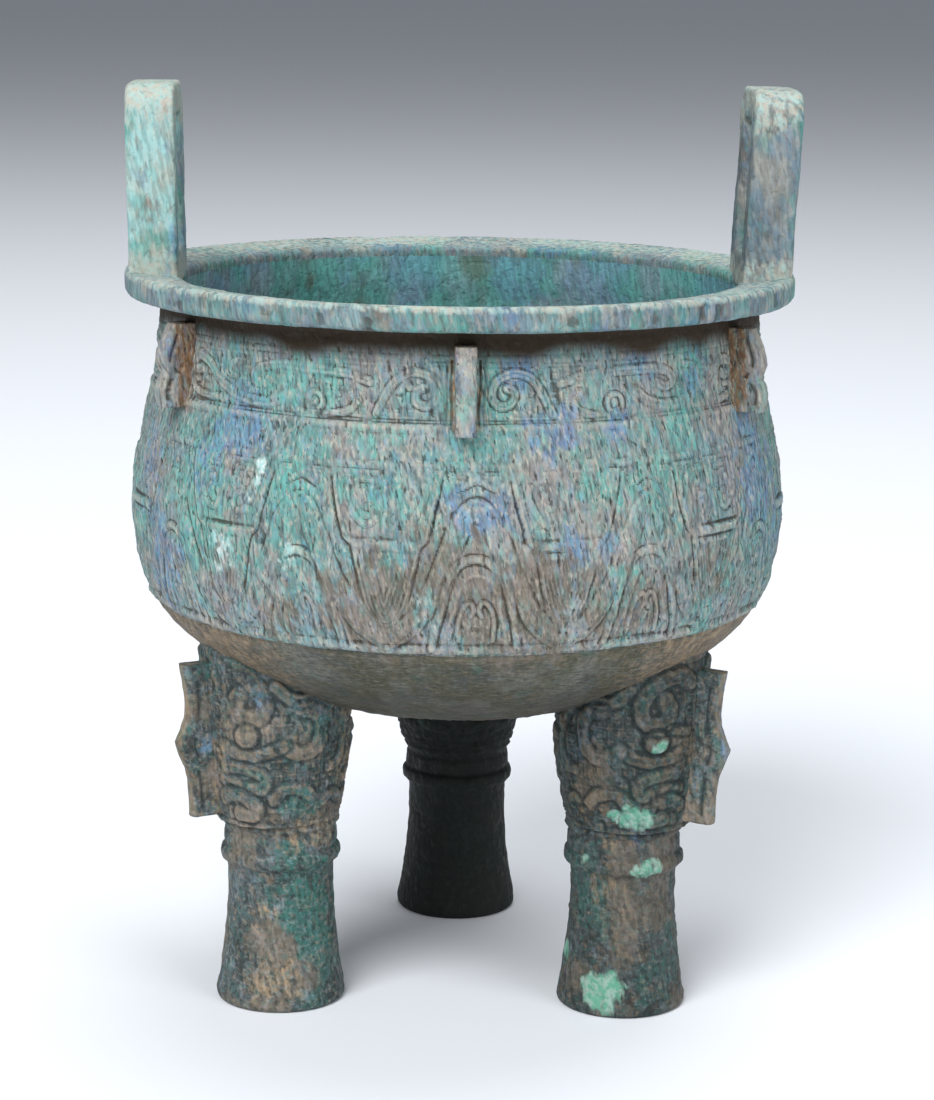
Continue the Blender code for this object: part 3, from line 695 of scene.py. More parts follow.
TURQUOISE_STAINS = [
    (-31.0, 170.0, 10.0, 0.9), (-22.0, 172.0, 8.0, 0.7), (-48.0, 140.0, 18.0, 0.8),
    (-38.0, 128.0, 10.0, 0.6), (-70.0, 128.0, 12.0, 0.7), (-12.0, 159.0, 9.0, 0.5),
    (-16.0, 146.0, 9.0, 0.6), (22.4, 149.0, 7.0, 1.0), (27.0, 146.0, 4.0, 0.9),
    (46.6, 174.5, 6.0, 0.9), (41.0, 160.0, 10.0, 0.6), (30.0, 124.0, 7.0, 0.6),
    (58.0, 135.0, 10.0, 0.5), (36.0, 145.0, 9.0, 0.45), (-28.0, 150.0, 8.0, 0.7),
    (95.0, 165.0, 16.0, 0.7), (130.0, 120.0, 16.0, 0.6), (-100.0, 140.0, 20.0, 0.7),
    (-140.0, 165.0, 14.0, 0.6), (170.0, 145.0, 16.0, 0.6),
]
MINT_STAINS = [
    (-34.0, 150.8, 2.4, 1.0), (-34.8, 146.8, 2.2, 0.5), (-35.6, 142.8, 2.4, 0.4),
    (-41.0, 126.8, 5.0, 0.42), (-42.6, 131.0, 3.4, 0.34), (-27.5, 129.6, 4.0, 0.38),
    (140.0, 142.0, 4.0, 0.8), (-110.0, 126.0, 5.0, 0.7),
]
BROWN_STAINS = [
    (2.5, 124.0, 17.0, 1.0), (-12.0, 118.0, 16.0, 1.0), (16.0, 117.0, 16.0, 0.9),
    (-30.0, 114.0, 10.0, 0.5), (34.0, 116.0, 12.0, 0.55), (50.0, 122.0, 10.0, 0.4),
    (-6.0, 134.0, 9.0, 0.5), (11.0, 132.0, 7.0, 0.6), (-55.0, 166.0, 8.0, 0.4),
    (170.0, 116.0, 18.0, 0.8), (120.0, 140.0, 10.0, 0.5), (-160.0, 140.0, 12.0, 0.5),
]


def stain(points, stains):
    """Strength of round stains with ragged edges, at points in space."""
    ragged = 0.45 * lumps(points, 6.0, 31) + 0.35 * lumps(points, 2.4, 32)
    total = np.zeros(points.shape[:-1])
    for azimuth, level, radius, strength in stains:
        across, forward = radial(azimuth) * bowl_radius(level)
        centre = np.array([across, forward, level])
        gap = np.linalg.norm(points - centre, axis=-1) / radius
        total = np.maximum(total, strength * softened((1.25 - gap + ragged) / 1.0))
    return total


def bowl_stains(points):
    return {
        "azurite": stain(points, BLUE_STAINS),
        "turquoise": stain(points, TURQUOISE_STAINS),
        "pale_stain_and_highlight": stain(points, MINT_STAINS),
        "umber": stain(points, BROWN_STAINS),
    }


# The bowl's outer wall, in three sheets that meet under flanges

def wall_relief(azimuth, level, places):
    """Height and dirt of frieze, plain band and blades on the outer wall, worn unevenly."""
    turned = azimuth - ORNAMENT_TURN
    shift = 0.42 * lumps(places, 11.0, 21) + 0.2 * lumps(places, 3.4, 22)
    lift = 0.42 * lumps(places, 11.0, 23) + 0.2 * lumps(places, 3.4, 24)

    from_flange = np.abs((turned + FRIEZE_SPAN) % (2 * FRIEZE_SPAN) - FRIEZE_SPAN)
    frieze, frieze_cut = FRIEZE.read(from_flange * FRIEZE_SCALE + shift, level + lift * 0.6)
    in_band = softened((level - 160.4) / 0.5)
    spacing = 2 * BELLY_SPAN
    from_blade = np.abs((azimuth - BELLY_TURN) % spacing - BELLY_SPAN)
    belly, belly_cut = BELLY.read(from_blade * BELLY_SCALE + shift, level + lift * 0.6)
    in_belly = softened((154.4 - level) / 0.5) * softened((level - 107.4) / 0.6)

    worn = np.clip(0.6 + 0.45 * lumps(places, 13.0, 25) + 0.4 * lumps(places, 4.0, 27), 0.25, 1.0)
    height = worn * (frieze * in_band + belly * in_belly)
    for line, proud in ((FRIEZE_FOOT, 0.45), (BLADE_TOP, 0.42), (BLADE_FOOT, 0.7)):
        gap = np.abs(level + lift * 0.5 - line) / 1.0
        height += proud * worn * np.sqrt(np.clip(1.0 - gap * gap, 0.0, 1.0))
    grooves = np.clip((frieze_cut * 0.8 * in_band + belly_cut * in_belly) / 0.45, 0.0, 1.0)
    still_open = 0.08 + 1.1 * lumps(places, 5.0, 28) + 0.8 * lumps(along_streaks(places), 2.2, 29)
    still_open = softened(still_open)
    dirt = grooves * (0.12 + 0.88 * still_open)

    carved = np.clip(in_band + in_belly, 0.0, 1.0)
    slit = lumps(along_streaks(places), 0.9, 20) - 0.76 + 0.24 * grooves
    slit = softened(slit / 0.14) * (0.3 + 0.7 * carved)
    return height - 0.35 * slit, np.clip(dirt + slit, 0.0, 1.0)


def wall_sheet(name, start, end, columns, rows):
    """The outer wall between two azimuths, with its frieze, blades and stains."""
    keep = (BOWL_LINE[:, 1] <= WALL_TOP) & (BOWL_LINE[:, 1] >= WALL_FOOT)
    top = [(bowl_radius(WALL_TOP), WALL_TOP)]
    foot = [(bowl_radius(WALL_FOOT), WALL_FOOT)]
    line = evenly(np.vstack([top, BOWL_LINE[keep], foot]), rows)
    normals = outward_normals(line)
    azimuths = np.linspace(start, end, columns)
    level, azimuth = np.meshgrid(line[:, 1], azimuths, indexing="ij")
    outward = radial(azimuth)
    radius = line[:, 0][:, None]
    places = np.concatenate([outward * radius[..., None], level[..., None]], -1)
    height, dirt = wall_relief(azimuth, level, places)
    height = height + corroded(places)
    points = raised(places, outward, normals, height)
    values = bowl_stains(places)
    values["proud"] = proudness(height, 3)
    from_fin = np.abs((azimuth - ORNAMENT_TURN + 30.0) % 60.0 - 30.0) * FRIEZE_SCALE
    beside = softened((4.6 - from_fin + 0.8 * lumps(places, 3.0, 30)) / 2.2)
    values["ochre"] = 0.8 * beside * softened((level - 160.5) / 2.0)
    values["recess"] = dirt
    # Painted shade under the rim's overhang, over a dark brown deposit there: darker towards the rim.
    values["soot_and_shade"] = softened((level - 176.0 + 2.0 * lumps(places, 9.0, 26)) / 5.5)
    faces = grid_faces(rows, columns, False)
    return piece_from(name, points.reshape(-1, 3), faces, values)


# Rim, mouth and the inside down to its bottom

def rounded_profile(corners, radius, steps=5):
    """A line whose inner corners are rounded."""
    corners = [np.array(corner, dtype=float) for corner in corners]
    made = [corners[0]]
    for before, corner, after in zip(corners, corners[1:], corners[2:]):
        first = before - corner
        second = after - corner
        reach = min(radius, np.linalg.norm(first) / 2, np.linalg.norm(second) / 2)
        start = corner + first / np.linalg.norm(first) * reach
        end = corner + second / np.linalg.norm(second) * reach
        for step in range(steps + 1):
            t = step / steps
            made.append((1 - t) ** 2 * start + 2 * t * (1 - t) * corner + t * t * end)
    made.append(corners[-1])
    return np.array(made)


def inside_line():
    """Profile of the hollow, from its bottom up to the mouth."""
    outer = evenly(BOWL_LINE, 240)
    moved = outer - outward_normals(outer) * WALL
    moved = moved[(moved[:, 1] < 174.0) & (moved[:, 0] > 0.4)]
    upwards = moved[::-1]
    return np.vstack([[(0.3, upwards[0][1])], upwards])


def turned_sheet(name, line, columns, values_at, crust_at):
    """A skin all round the axis; crust_at gives its height and values_at its stains."""
    normals = outward_normals(line)
    azimuths = np.linspace(-180.0, 180.0, columns, endpoint=False)
    level, azimuth = np.meshgrid(line[:, 1], azimuths, indexing="ij")
    radius = np.repeat(line[:, 0][:, None], columns, axis=1)
    outward = radial(azimuth)
    places = np.concatenate([outward * radius[..., None], level[..., None]], -1)
    height = crust_at(places, radius, level) * softened(radius / 6.0)
    points = raised(places, outward, normals, height)
    values = values_at(places, radius, level, azimuth)
    values["proud"] = proudness(height, 3, True)
    faces = grid_faces(len(line), columns, True)
    return piece_from(name, points.reshape(-1, 3), faces, values)


def inside():
    """The hollow, from its bottom up to the mouth."""
    inner = inside_line()
    throat = [(MOUTH_RADIUS + 0.4, 181.0), (MOUTH_RADIUS + 0.1, 187.6)]
    line = evenly(np.vstack([inner, throat]), INSIDE_ROWS)

    def crust(places, radius, level):
        return corroded(places, 0.7)

    def stains(places, radius, level, azimuth):
        low = (158.0 - level) / 26.0 + 0.8 * lumps(places, 14.0, 44)
        return {
            "azurite": softened(lumps(places, 15.0, 42) * 1.5 + 0.1),
            "turquoise": softened(lumps(places, 12.0, 43) * 1.5),
            "umber": softened(low),
            # Darker towards the bottom of the hollow.
            "soot_and_shade": 0.5 * softened((120.0 - level) / 20.0),
        }

    return turned_sheet("inside", line, INSIDE_COLUMNS, stains, crust)


def rim():
    """The flat rim with its worn corners, hollow underneath where it meets the neck."""
    lip = RIM_TOP - RIM_FALL
    line = rounded_profile([
        (MOUTH_RADIUS + 0.3, 186.0),
        (MOUTH_RADIUS + 0.1, lip),
        (RIM_RADIUS, RIM_TOP - 0.1),
        (RIM_RADIUS, RIM_UNDERSIDE),
        (NECK_RADIUS + 0.2, RIM_UNDERSIDE - 0.6),
        (NECK_RADIUS + 0.2, WALL_TOP - 1.2),
    ], 1.7)
    line = evenly(line, RIM_ROWS)

    def crust(places, radius, level):
        height = corroded(places, 0.9)
        near_edge = softened((radius - 79.0) / 4.0)
        height = height - near_edge * np.maximum(height, 0.0) * 0.6
        nicks = softened((lumps(places, 4.0, 41) - 0.45) / 0.3)
        corner = softened((radius - RIM_RADIUS + 2.2) / 1.2)
        return height - 0.5 * nicks * corner

    def stains(places, radius, level, azimuth):
        # The rim's underside is painted dark: painted shade under the overhang, with dark brown dirt.
        below = softened((RIM_UNDERSIDE + 0.4 - level) / 1.2)
        below = below * softened((RIM_RADIUS - 0.8 - radius) / 1.2)
        blue = softened(lumps(places, 12.0, 45) * 1.6 - 0.35)
        blue = np.maximum(blue, softened(1.3 - np.abs(azimuth - 44.0) / 6.0))
        return {
            "azurite": 0.7 * blue,
            "turquoise": 0.9 * softened(lumps(places, 11.0, 46) * 1.5 + 0.05),
            "umber": 0.35 * softened(lumps(places, 10.0, 47) * 1.5 - 0.1),
            # The rim's top is painted pale: a painted highlight where the light from above falls.
            "pale_stain_and_highlight": (0.6 + 0.3 * lumps(places, 13.0, 49)) * softened((level - RIM_TOP + 2.6) / 1.6),
            "soot_and_shade": below,
        }

    return turned_sheet("rim", line, RIM_COLUMNS, stains, crust)


# The round underside, between the blades and the legs

def underside():
    line = BOWL_LINE[(BOWL_LINE[:, 1] < WALL_FOOT + 1.0) & (BOWL_LINE[:, 0] > 0.3)]
    line = evenly(np.vstack([line, [(0.3, BOWL_BOTTOM)]]), UNDERSIDE_ROWS)

    def crust(places, radius, level):
        height = corroded(places, 1.1) + 0.06 * lumps(places * [0.25, 0.25, 2.0], 1.0, 48)
        return height - 0.3 * softened((level - 105.6) / 1.0)

    def stains(places, radius, level, azimuth):
        left = softened(1.2 - np.abs(azimuth + 56.0) / 28.0)
        right = softened(1.2 - np.abs(azimuth - 58.0) / 26.0)
        values = bowl_stains(places)
        values["azurite"] = 0.3 * values["azurite"]
        values["ochre"] = np.maximum(left, right) * softened((level - 82.0) / 14.0)
        # Darker towards the bottom.
        values["soot_and_shade"] = 0.45 * softened((100.0 - level) / 14.0)
        return values

    return turned_sheet("underside", line, UNDERSIDE_COLUMNS, stains, crust)


# Legs

MASK_SIDE = np.array([
    (19.9, 100.0), (19.9, 84.0), (19.8, 77.0), (19.3, 69.0), (18.4, 62.0), (17.4, 56.0),
    (16.2, MASK_FOOT),
])
SHAFT_SIDE = [
    (14.9, 51.4), (15.3, 50.4), (14.9, 49.9), (15.5, 49.4), (15.5, 48.7), (14.6, 48.1),
    (14.4, 46.8), (14.9, 46.2), (14.9, 42.9), (14.3, 42.5), (15.4, 41.9), (15.75, 41.0),
    (15.75, 39.4), (15.2, 38.5), (14.3, 38.1), (13.9, 36.4), (13.8, 30.0), (14.1, 24.0),
    (14.7, 17.0), (15.5, 11.0), (16.3, 5.5), (17.0, 1.6), (17.0, 0.7), (16.4, 0.1),
    (9.0, 0.25), (0.2, 0.3),
]
LEG_MINT_STAINS = {
    0: [],
    1: [(-80.0, 6.4, 6.2, 1.0), (-72.0, 55.6, 2.6, 0.7), (-62.0, 55.4, 3.4, 0.9),
        (-50.0, 54.6, 3.4, 0.9), (-40.0, 75.0, 2.4, 0.9), (-48.0, 39.8, 2.4, 0.8),
        (-38.0, 40.0, 2.4, 0.9), (-28.0, 40.4, 2.4, 0.8), (-104.0, 41.6, 2.0, 0.6),
        (-137.0, 15.0, 3.0, 0.8)],
    2: [(150.0, 60.0, 4.0, 0.6), (60.0, 30.0, 5.0, 0.6)],
}
LEG_GREEN_STAINS = {
    0: [(93.0, 27.0, 10.0, 1.0), (108.0, 18.0, 9.0, 1.0), (100.0, 36.0, 7.0, 0.8),
        (74.0, 40.6, 5.0, 0.8), (84.0, 57.0, 6.0, 0.7), (100.0, 78.0, 5.0, 0.6),
        (50.0, 64.0, 5.0, 0.5)],
    1: [(-101.0, 30.0, 9.0, 0.7), (-118.0, 38.0, 7.0, 0.6), (-38.0, 66.0, 5.0, 0.6),
        (-20.0, 60.0, 5.0, 0.5), (-8.0, 14.0, 8.0, 0.4), (-60.0, 88.0, 6.0, 0.4)],
    2: [(-160.0, 20.0, 12.0, 0.8), (170.0, 34.0, 9.0, 0.7), (150.0, 10.0, 8.0, 0.6)],
}
LEG_SAND_STAINS = {
    0: [(58.0, 9.0, 8.5, 0.9), (46.0, 26.0, 6.0, 0.6), (114.0, 47.0, 5.0, 0.9),
        (74.0, 46.0, 5.0, 0.6), (134.0, 66.0, 9.0, 0.7), (138.0, 82.0, 8.0, 0.7),
        (10.0, 70.0, 9.0, 0.6), (96.0, 52.0, 5.0, 0.6)],
    1: [(-80.0, 34.0, 8.0, 0.6), (-66.0, 28.0, 7.0, 0.5), (-95.0, 62.0, 8.0, 0.6),
        (-70.0, 46.0, 6.0, 0.5), (-12.0, 74.0, 7.0, 0.5), (-50.0, 20.0, 6.0, 0.4)],
    2: [(0.0, 12.0, 9.0, 0.5), (40.0, 60.0, 10.0, 0.4)],
}

# The left leg spreads into the bowl on its inner side
SPREAD_ROUND = 142.0
SPREAD_WIDTH = 55.0
SPREAD_FOOT = 76.0
SPREAD_REACH = 2.6


def leg_place(leg, phi, level):
    """A point on a leg's surface, phi degrees round from its outward line."""
    azimuth = LEG_AZIMUTHS[leg]
    if level > MASK_FOOT:
        centre = radial(azimuth) * (LEG_CIRCLE + MASK_SHIFT)
        radius = np.interp(level, MASK_SIDE[::-1, 1], MASK_SIDE[::-1, 0])
    else:
        centre = radial(azimuth) * LEG_CIRCLE
        radius = 15.0
    x, y = centre + radial(azimuth + phi) * radius
    return np.array([x, y, level])


def leg_stain(points, leg, stains):
    ragged = 0.30 * lumps(points, 5.0, 51) + 0.22 * lumps(points, 1.8, 52)
    total = np.zeros(points.shape[:-1])
    for phi, level, radius, strength in stains[leg]:
        gap = np.linalg.norm(points - leg_place(leg, phi, level), axis=-1) / radius
        total = np.maximum(total, strength * softened((1.15 - gap + ragged) / 0.7))
    return total


def leg_values(places, leg, height, cut):
    green = leg_stain(places, leg, LEG_GREEN_STAINS)
    return {
        "azurite": 0.35 * softened(lumps(places, 12.0, 53) * 1.5 - 0.3),
        "turquoise": green,
        "pale_stain_and_highlight": leg_stain(places, leg, LEG_MINT_STAINS),
        "umber": softened(lumps(places, 9.0, 54) * 1.2 + 0.2) * (1.0 - green),
        "ochre": leg_stain(places, leg, LEG_SAND_STAINS) * (1.0 - 0.7 * green),
        "proud": proudness(height, 3, True),
        "recess": np.clip(cut / 0.5, 0.0, 1.0),
        "soot_and_shade": np.zeros(height.shape),
    }


def upper_leg(name, leg):
    """The swollen upper leg with its mask, left open where it sinks into the bowl."""
    line = evenly(smooth_line(MASK_SIDE, 8), MASK_ROWS)
    normals = outward_normals(line)
    phi = np.linspace(-180.0, 180.0, MASK_COLUMNS, endpoint=False)
    level, round_leg = np.meshgrid(line[:, 1], phi, indexing="ij")
    azimuth = LEG_AZIMUTHS[leg]
    centre = radial(azimuth) * (LEG_CIRCLE + MASK_SHIFT)
    outward = radial(azimuth + round_leg)
    radius = line[:, 0][:, None]
    if leg == 0:
        near = softened(1.0 - np.abs(round_leg - SPREAD_ROUND) / SPREAD_WIDTH)
        radius = radius + SPREAD_REACH * near * softened((level - SPREAD_FOOT) / 14.0)
    places = np.concatenate([centre + outward * radius[..., None], level[..., None]], -1)
    shift = 0.4 * lumps(places, 9.0, 55) + 0.15 * lumps(places, 3.0, 56)
    lift = 0.4 * lumps(places, 9.0, 57) + 0.15 * lumps(places, 3.0, 58)
    relief, cut = MASK.read(np.abs(round_leg) * MASK_SCALE + shift, level + lift)
    wear = np.clip(0.75 + 0.5 * lumps(places, 10.0, 59) + 0.4 * lumps(places, 3.6, 60), 0.15, 1.1)
    height = wear * relief + corroded(places, 1.9)
    height += 0.35 * lumps(places, 4.6, 64) + 0.16 * lumps(places, 2.0, 65)
    points = raised(places, outward, normals, height)
    faces = grid_faces(MASK_ROWS, MASK_COLUMNS, True)
    flat = points.reshape(-1, 3)
    from_axis = np.hypot(flat[:, 0], flat[:, 1])
    buried = from_axis < bowl_radius(flat[:, 2]) - 1.6
    faces = faces[~buried[faces].all(axis=1)]
    return piece_from(name, flat, faces, leg_values(places, leg, height, wear * cut))


def leg_shaft(name, leg):
    """The plain shaft: collar, band and ring above, a flared foot below, closed underneath."""
    line = evenly(rounded_profile(SHAFT_SIDE, 0.9, 3), SHAFT_ROWS)
    normals = outward_normals(line)
    phi = np.linspace(-180.0, 180.0, SHAFT_COLUMNS, endpoint=False)
    level, round_leg = np.meshgrid(line[:, 1], phi, indexing="ij")
    azimuth = LEG_AZIMUTHS[leg]
    centre = radial(azimuth) * LEG_CIRCLE
    outward = radial(azimuth + round_leg)
    radius = line[:, 0][:, None]
    places = np.concatenate([centre + outward * radius[..., None], level[..., None]], -1)
    height = corroded(places, 1.3) * softened(radius / 4.0)
    flat_foot = softened((level - 0.9) / 1.5)
    height = height * flat_foot
    points = raised(places, outward, normals, height)
    faces = grid_faces(SHAFT_ROWS, SHAFT_COLUMNS, True)
    values = leg_values(places, leg, height, np.zeros(height.shape))
    return piece_from(name, points.reshape(-1, 3), faces, values)


# Flanges: thick fins, drawn as an outline of how far each height reaches out

def fin(name, azimuth, side, thickness, root, grooves, rows, place, rust):
    """A fin whose edge follows side, points of (reach, height) that run downwards.

    Each row goes from the root on one side, round the edge, to the root on the other.
    """
    edge = evenly(np.array(side, dtype=float), rows)
    top = edge[0][1]
    foot = edge[-1][1]
    half = thickness / 2
    bend = 1.1
    share = np.linspace(0.0, 1.0, 15)
    corner = np.radians(np.linspace(-90.0, 90.0, 9))
    outward = radial(azimuth)
    sideways = np.array([-outward[1], outward[0]])
    sections = []
    for reach, level in edge:
        face = root + share * (reach - bend - root)
        left = np.stack([face, np.full(len(share), -half)], 1)
        nose = np.stack([reach - bend + bend * np.cos(corner), half * np.sin(corner)], 1)
        right = left[::-1] * np.array([1.0, -1.0])
        sections.append(np.vstack([left, nose[1:-1], right]))
    sections = np.array(sections)
    reach = edge[:, 0][:, None]
    out = sections[..., 0]
    across = sections[..., 1]
    level = np.repeat(edge[:, 1][:, None], sections.shape[1], axis=1)
    flat = out[..., None] * outward + across[..., None] * sideways
    places = np.concatenate([flat, level[..., None]], -1)

    cut = np.zeros(level.shape)
    for low, high, gap in grooves:
        middle = foot + (low + high) / 2 * (top - foot)
        span = (high - low) / 2 * (top - foot)
        line = np.hypot(np.maximum(np.abs(level - middle) - span, 0.0), reach - out - gap)
        cut = np.maximum(cut, 0.55 * softened((0.4 - line) / 0.4 + 0.5))
    at_edge = softened((out - reach + bend + 0.4) / 0.8)
    height = corroded(places + place * 13.7, 1.1) - cut * (1.0 - at_edge)
    push_out = at_edge * np.clip((out - reach + bend) / bend, 0.0, 1.0)
    push_side = (across / half) * (1.0 - 0.6 * push_out)
    flat_push = push_out[..., None] * outward + push_side[..., None] * sideways
    points = places.copy()
    points[..., :2] += flat_push * height[..., None]

    shrink = (0.97, 0.82, 0.5, 0.05)
    cap_top = [points[0].mean(axis=0) + (points[0] - points[0].mean(axis=0)) * share
               for share in reversed(shrink)]
    cap_foot = [points[-1].mean(axis=0) + (points[-1] - points[-1].mean(axis=0)) * share
                for share in shrink]
    grid = np.array(cap_top + list(points) + cap_foot)

    def with_caps(field):
        return np.vstack([field[:1]] * len(shrink) + [field] + [field[-1:]] * len(shrink))

    values = {
        "azurite": 0.4 * softened(lumps(grid, 8.0, 61) * 1.4),
        "turquoise": 0.5 * softened(lumps(grid, 7.0, 62) * 1.4),
        "umber": softened(lumps(grid, 9.0, 63) + 0.1),
        "ochre": with_caps(softened((root + rust - out) / 3.0)),
        "proud": np.clip(with_caps(0.7 * push_out + proudness(height, 2)), -1.0, 1.0),
        "recess": with_caps(np.clip(cut / 0.5, 0.0, 1.0)),
    }
    faces = grid_faces(grid.shape[0], grid.shape[1], False)
    return piece_from(name, grid.reshape(-1, 3), faces, values)


BOWL_FIN_THICKNESS = 5.2
BOWL_FIN_ROOT = 76.5
LEG_FIN_THICKNESS = 4.4
LEG_FIN_ROOT = 66.0
BOWL_FIN_SIDE = [
    (84.5, 182.0), (85.4, 180.0), (86.5, 177.6), (87.7, 174.6), (87.9, 172.6), (87.2, 170.6),
    (86.6, 169.4), (87.6, 167.6), (88.3, 165.6), (88.2, 163.4), (87.5, 161.0),
]
LEG_FIN_SIDE = [
    (81.0, 93.2), (80.5, 90.4), (79.9, 86.0), (79.5, 82.0), (79.8, 78.6), (80.9, 75.6),
    (82.4, 72.6), (82.1, 71.4), (80.9, 68.4), (79.6, 65.6), (78.9, 62.0), (78.6, 57.0),
    (78.6, 52.6),
]
BOWL_FIN_GROOVES = [(0.10, 0.34, 2.2), (0.56, 0.86, 2.4), (0.42, 0.46, 3.4)]
LEG_FIN_GROOVES = [(0.06, 0.30, 2.6), (0.62, 0.90, 2.6), (0.40, 0.52, 4.0)]


# Handles

def loop_outline(half_width, foot, top, corner, count):
    """A closed upright outline with round upper corners, walked from its middle foot."""
    made = [(0.0, foot), (half_width, foot)]
    for side, start in ((1, 0.0), (-1, 90.0)):
        for step in range(9):
            angle = math.radians(start + 90.0 * step / 8)
            x = side * (half_width - corner) + corner * math.cos(angle)
            made.append((x, top - corner + corner * math.sin(angle)))
    made += [(-half_width, foot), (0.0, foot)]
    return evenly(np.array(made), count)


def handle(name, azimuth, lean, seed):
    """An upright loop: the bar's section is carried round between window and outline."""
    half = HANDLE_WIDTH / 2
    height = HANDLE_TOP - RIM_TOP
    window_top = height - HANDLE_BAR
    outer = loop_outline(half, -5.0, height, 8.0, HANDLE_ROWS)[:-1]
    window = loop_outline(half - HANDLE_BAR, HANDLE_SILL, window_top, 3.0, HANDLE_ROWS)[:-1]
    thick = HANDLE_THICKNESS / 2
    sections = []
    for edge, hole in zip(outer, window):
        out = edge - hole
        width = float(np.hypot(*out))
        out = out / width
        section = evenly(rounded_profile([
            (width / 2, -thick), (width, -thick), (width, thick), (0.0, thick), (0.0, -thick),
            (width / 2, -thick),
        ], 1.4, 4), HANDLE_SECTION_POINTS)[:-1]
        sections.append([(*(hole + out * s), t) for s, t in section])
    drawn = np.array(sections)

    azimuth = azimuth + ORNAMENT_TURN
    outward = radial(azimuth)
    sideways = np.array([-outward[1], outward[0]])
    tilt = math.radians(lean)
    middle = RIM_RADIUS - 2.2 - HANDLE_THICKNESS / 2
    up = drawn[..., 1] * math.cos(tilt) - drawn[..., 2] * math.sin(tilt)
    out = drawn[..., 2] * math.cos(tilt) + drawn[..., 1] * math.sin(tilt) + middle
    flat = out[..., None] * outward + drawn[..., 0][..., None] * sideways
    places = np.concatenate([flat, (RIM_TOP + up)[..., None]], -1)
    along = np.roll(places, -1, axis=0) - np.roll(places, 1, axis=0)
    around = np.roll(places, -1, axis=1) - np.roll(places, 1, axis=1)
    normals = np.cross(along, around)
    normals = normals / np.maximum(np.linalg.norm(normals, axis=-1), 1e-6)[..., None]
    away = places - places.mean(axis=1, keepdims=True)
    side = np.sign((normals * away).sum(axis=-1).mean())
    crust = corroded(places + seed * 31.0, 1.0)
    crust = crust - 0.45 * np.maximum(crust, 0.0)
    points = places + side * normals * crust[..., None]
    points[..., 2] = np.minimum(points[..., 2], HANDLE_TOP)
    pale = softened((places[..., 2] - 224.0 + 5.0 * lumps(places, 8.0, 71)) / 12.0)
    pale = np.maximum(pale, softened((200.0 - places[..., 2] + 4.0 * lumps(places, 7.0, 72)) / 8.0))
    values = {
        "azurite": 0.75 * softened(lumps(places + seed * 9.0, 9.0, 73) * 1.7 - 0.2),
        "turquoise": softened(lumps(places + seed * 9.0, 11.0, 74) * 1.4 + 0.2),
        "umber": 0.35 * softened(lumps(places + seed * 9.0, 8.0, 75) * 1.6 - 0.1),
        "ochre": 0.4 * pale,
        "pale_stain_and_highlight": 0.7 * pale,
        "proud": proudness(crust, 3, True),
    }
    faces = grid_faces(points.shape[0], points.shape[1], True)
    last = np.arange(points.shape[1]) + (points.shape[0] - 1) * points.shape[1]
    first = np.arange(points.shape[1])
    closing = np.stack([last, first, np.roll(first, -1), np.roll(last, -1)], 1)
    faces = np.vstack([faces, closing])
    if side < 0:
        faces = faces[:, ::-1]
    return piece_from(name, points.reshape(-1, 3), faces, values)


# Shader groups

# Blotches below a size in metres need less detail in their noise
FINE_BLOTCH = 0.0016
FINE_DETAIL = 1.5
COARSE_DETAIL = 2.5


def add_node(tree, kind, values=None, **settings):
    """A node with its settings, socket values and links."""
    made = tree.nodes.new(kind)
    for key, value in settings.items():
        setattr(made, key, value)
    for key, value in (values or {}).items():
        socket = made.inputs[key]
        if isinstance(value, bpy.types.NodeSocket):
            tree.links.new(value, socket)
        else:
            socket.default_value = value
    return made


def blended(tree, factor, first, second, mode="MIX"):
    made = add_node(tree, "ShaderNodeMix", data_type="RGBA", blend_type=mode)
    made.clamp_factor = True
    for index, value in ((0, factor), (6, first), (7, second)):
        if isinstance(value, bpy.types.NodeSocket):
            tree.links.new(value, made.inputs[index])
        else:
            made.inputs[index].default_value = value
    return made.outputs[2]


def sums(tree, operation, first, second):
    return add_node(tree, "ShaderNodeMath", {0: first, 1: second}, operation=operation).outputs[0]


def ramped(tree, value, low, high, start=0.0, end=1.0):
    return add_node(tree, "ShaderNodeMapRange", {
        "Value": value, "From Min": low, "From Max": high, "To Min": start, "To Max": end,
    }, interpolation_type="SMOOTHSTEP").outputs[0]


def new_group(name, inputs, outputs):
    tree = bpy.data.node_groups.new(name, "ShaderNodeTree")
    for label, kind, value in inputs:
        socket = tree.interface.new_socket(label, in_out="INPUT", socket_type=kind)
        socket.default_value = value
    for label, kind in outputs:
        tree.interface.new_socket(label, in_out="OUTPUT", socket_type=kind)
    return tree, tree.nodes.new("NodeGroupInput"), tree.nodes.new("NodeGroupOutput")


def leaning_place(tree, stretch):
    """Object coordinates, and the same pressed together along the leaning streaks."""
    where = add_node(tree, "ShaderNodeTexCoord").outputs["Object"]
    parts = add_node(tree, "ShaderNodeSeparateXYZ", {0: where})
    lean = sums(tree, "MULTIPLY", parts.outputs[2], STREAK_LEAN)
    leaning = sums(tree, "ADD", parts.outputs[0], lean)
    pressed = sums(tree, "MULTIPLY", parts.outputs[2], stretch)
    drawn = add_node(tree, "ShaderNodeCombineXYZ", {0: leaning, 1: parts.outputs[1], 2: pressed})
    return where, drawn.outputs[0]


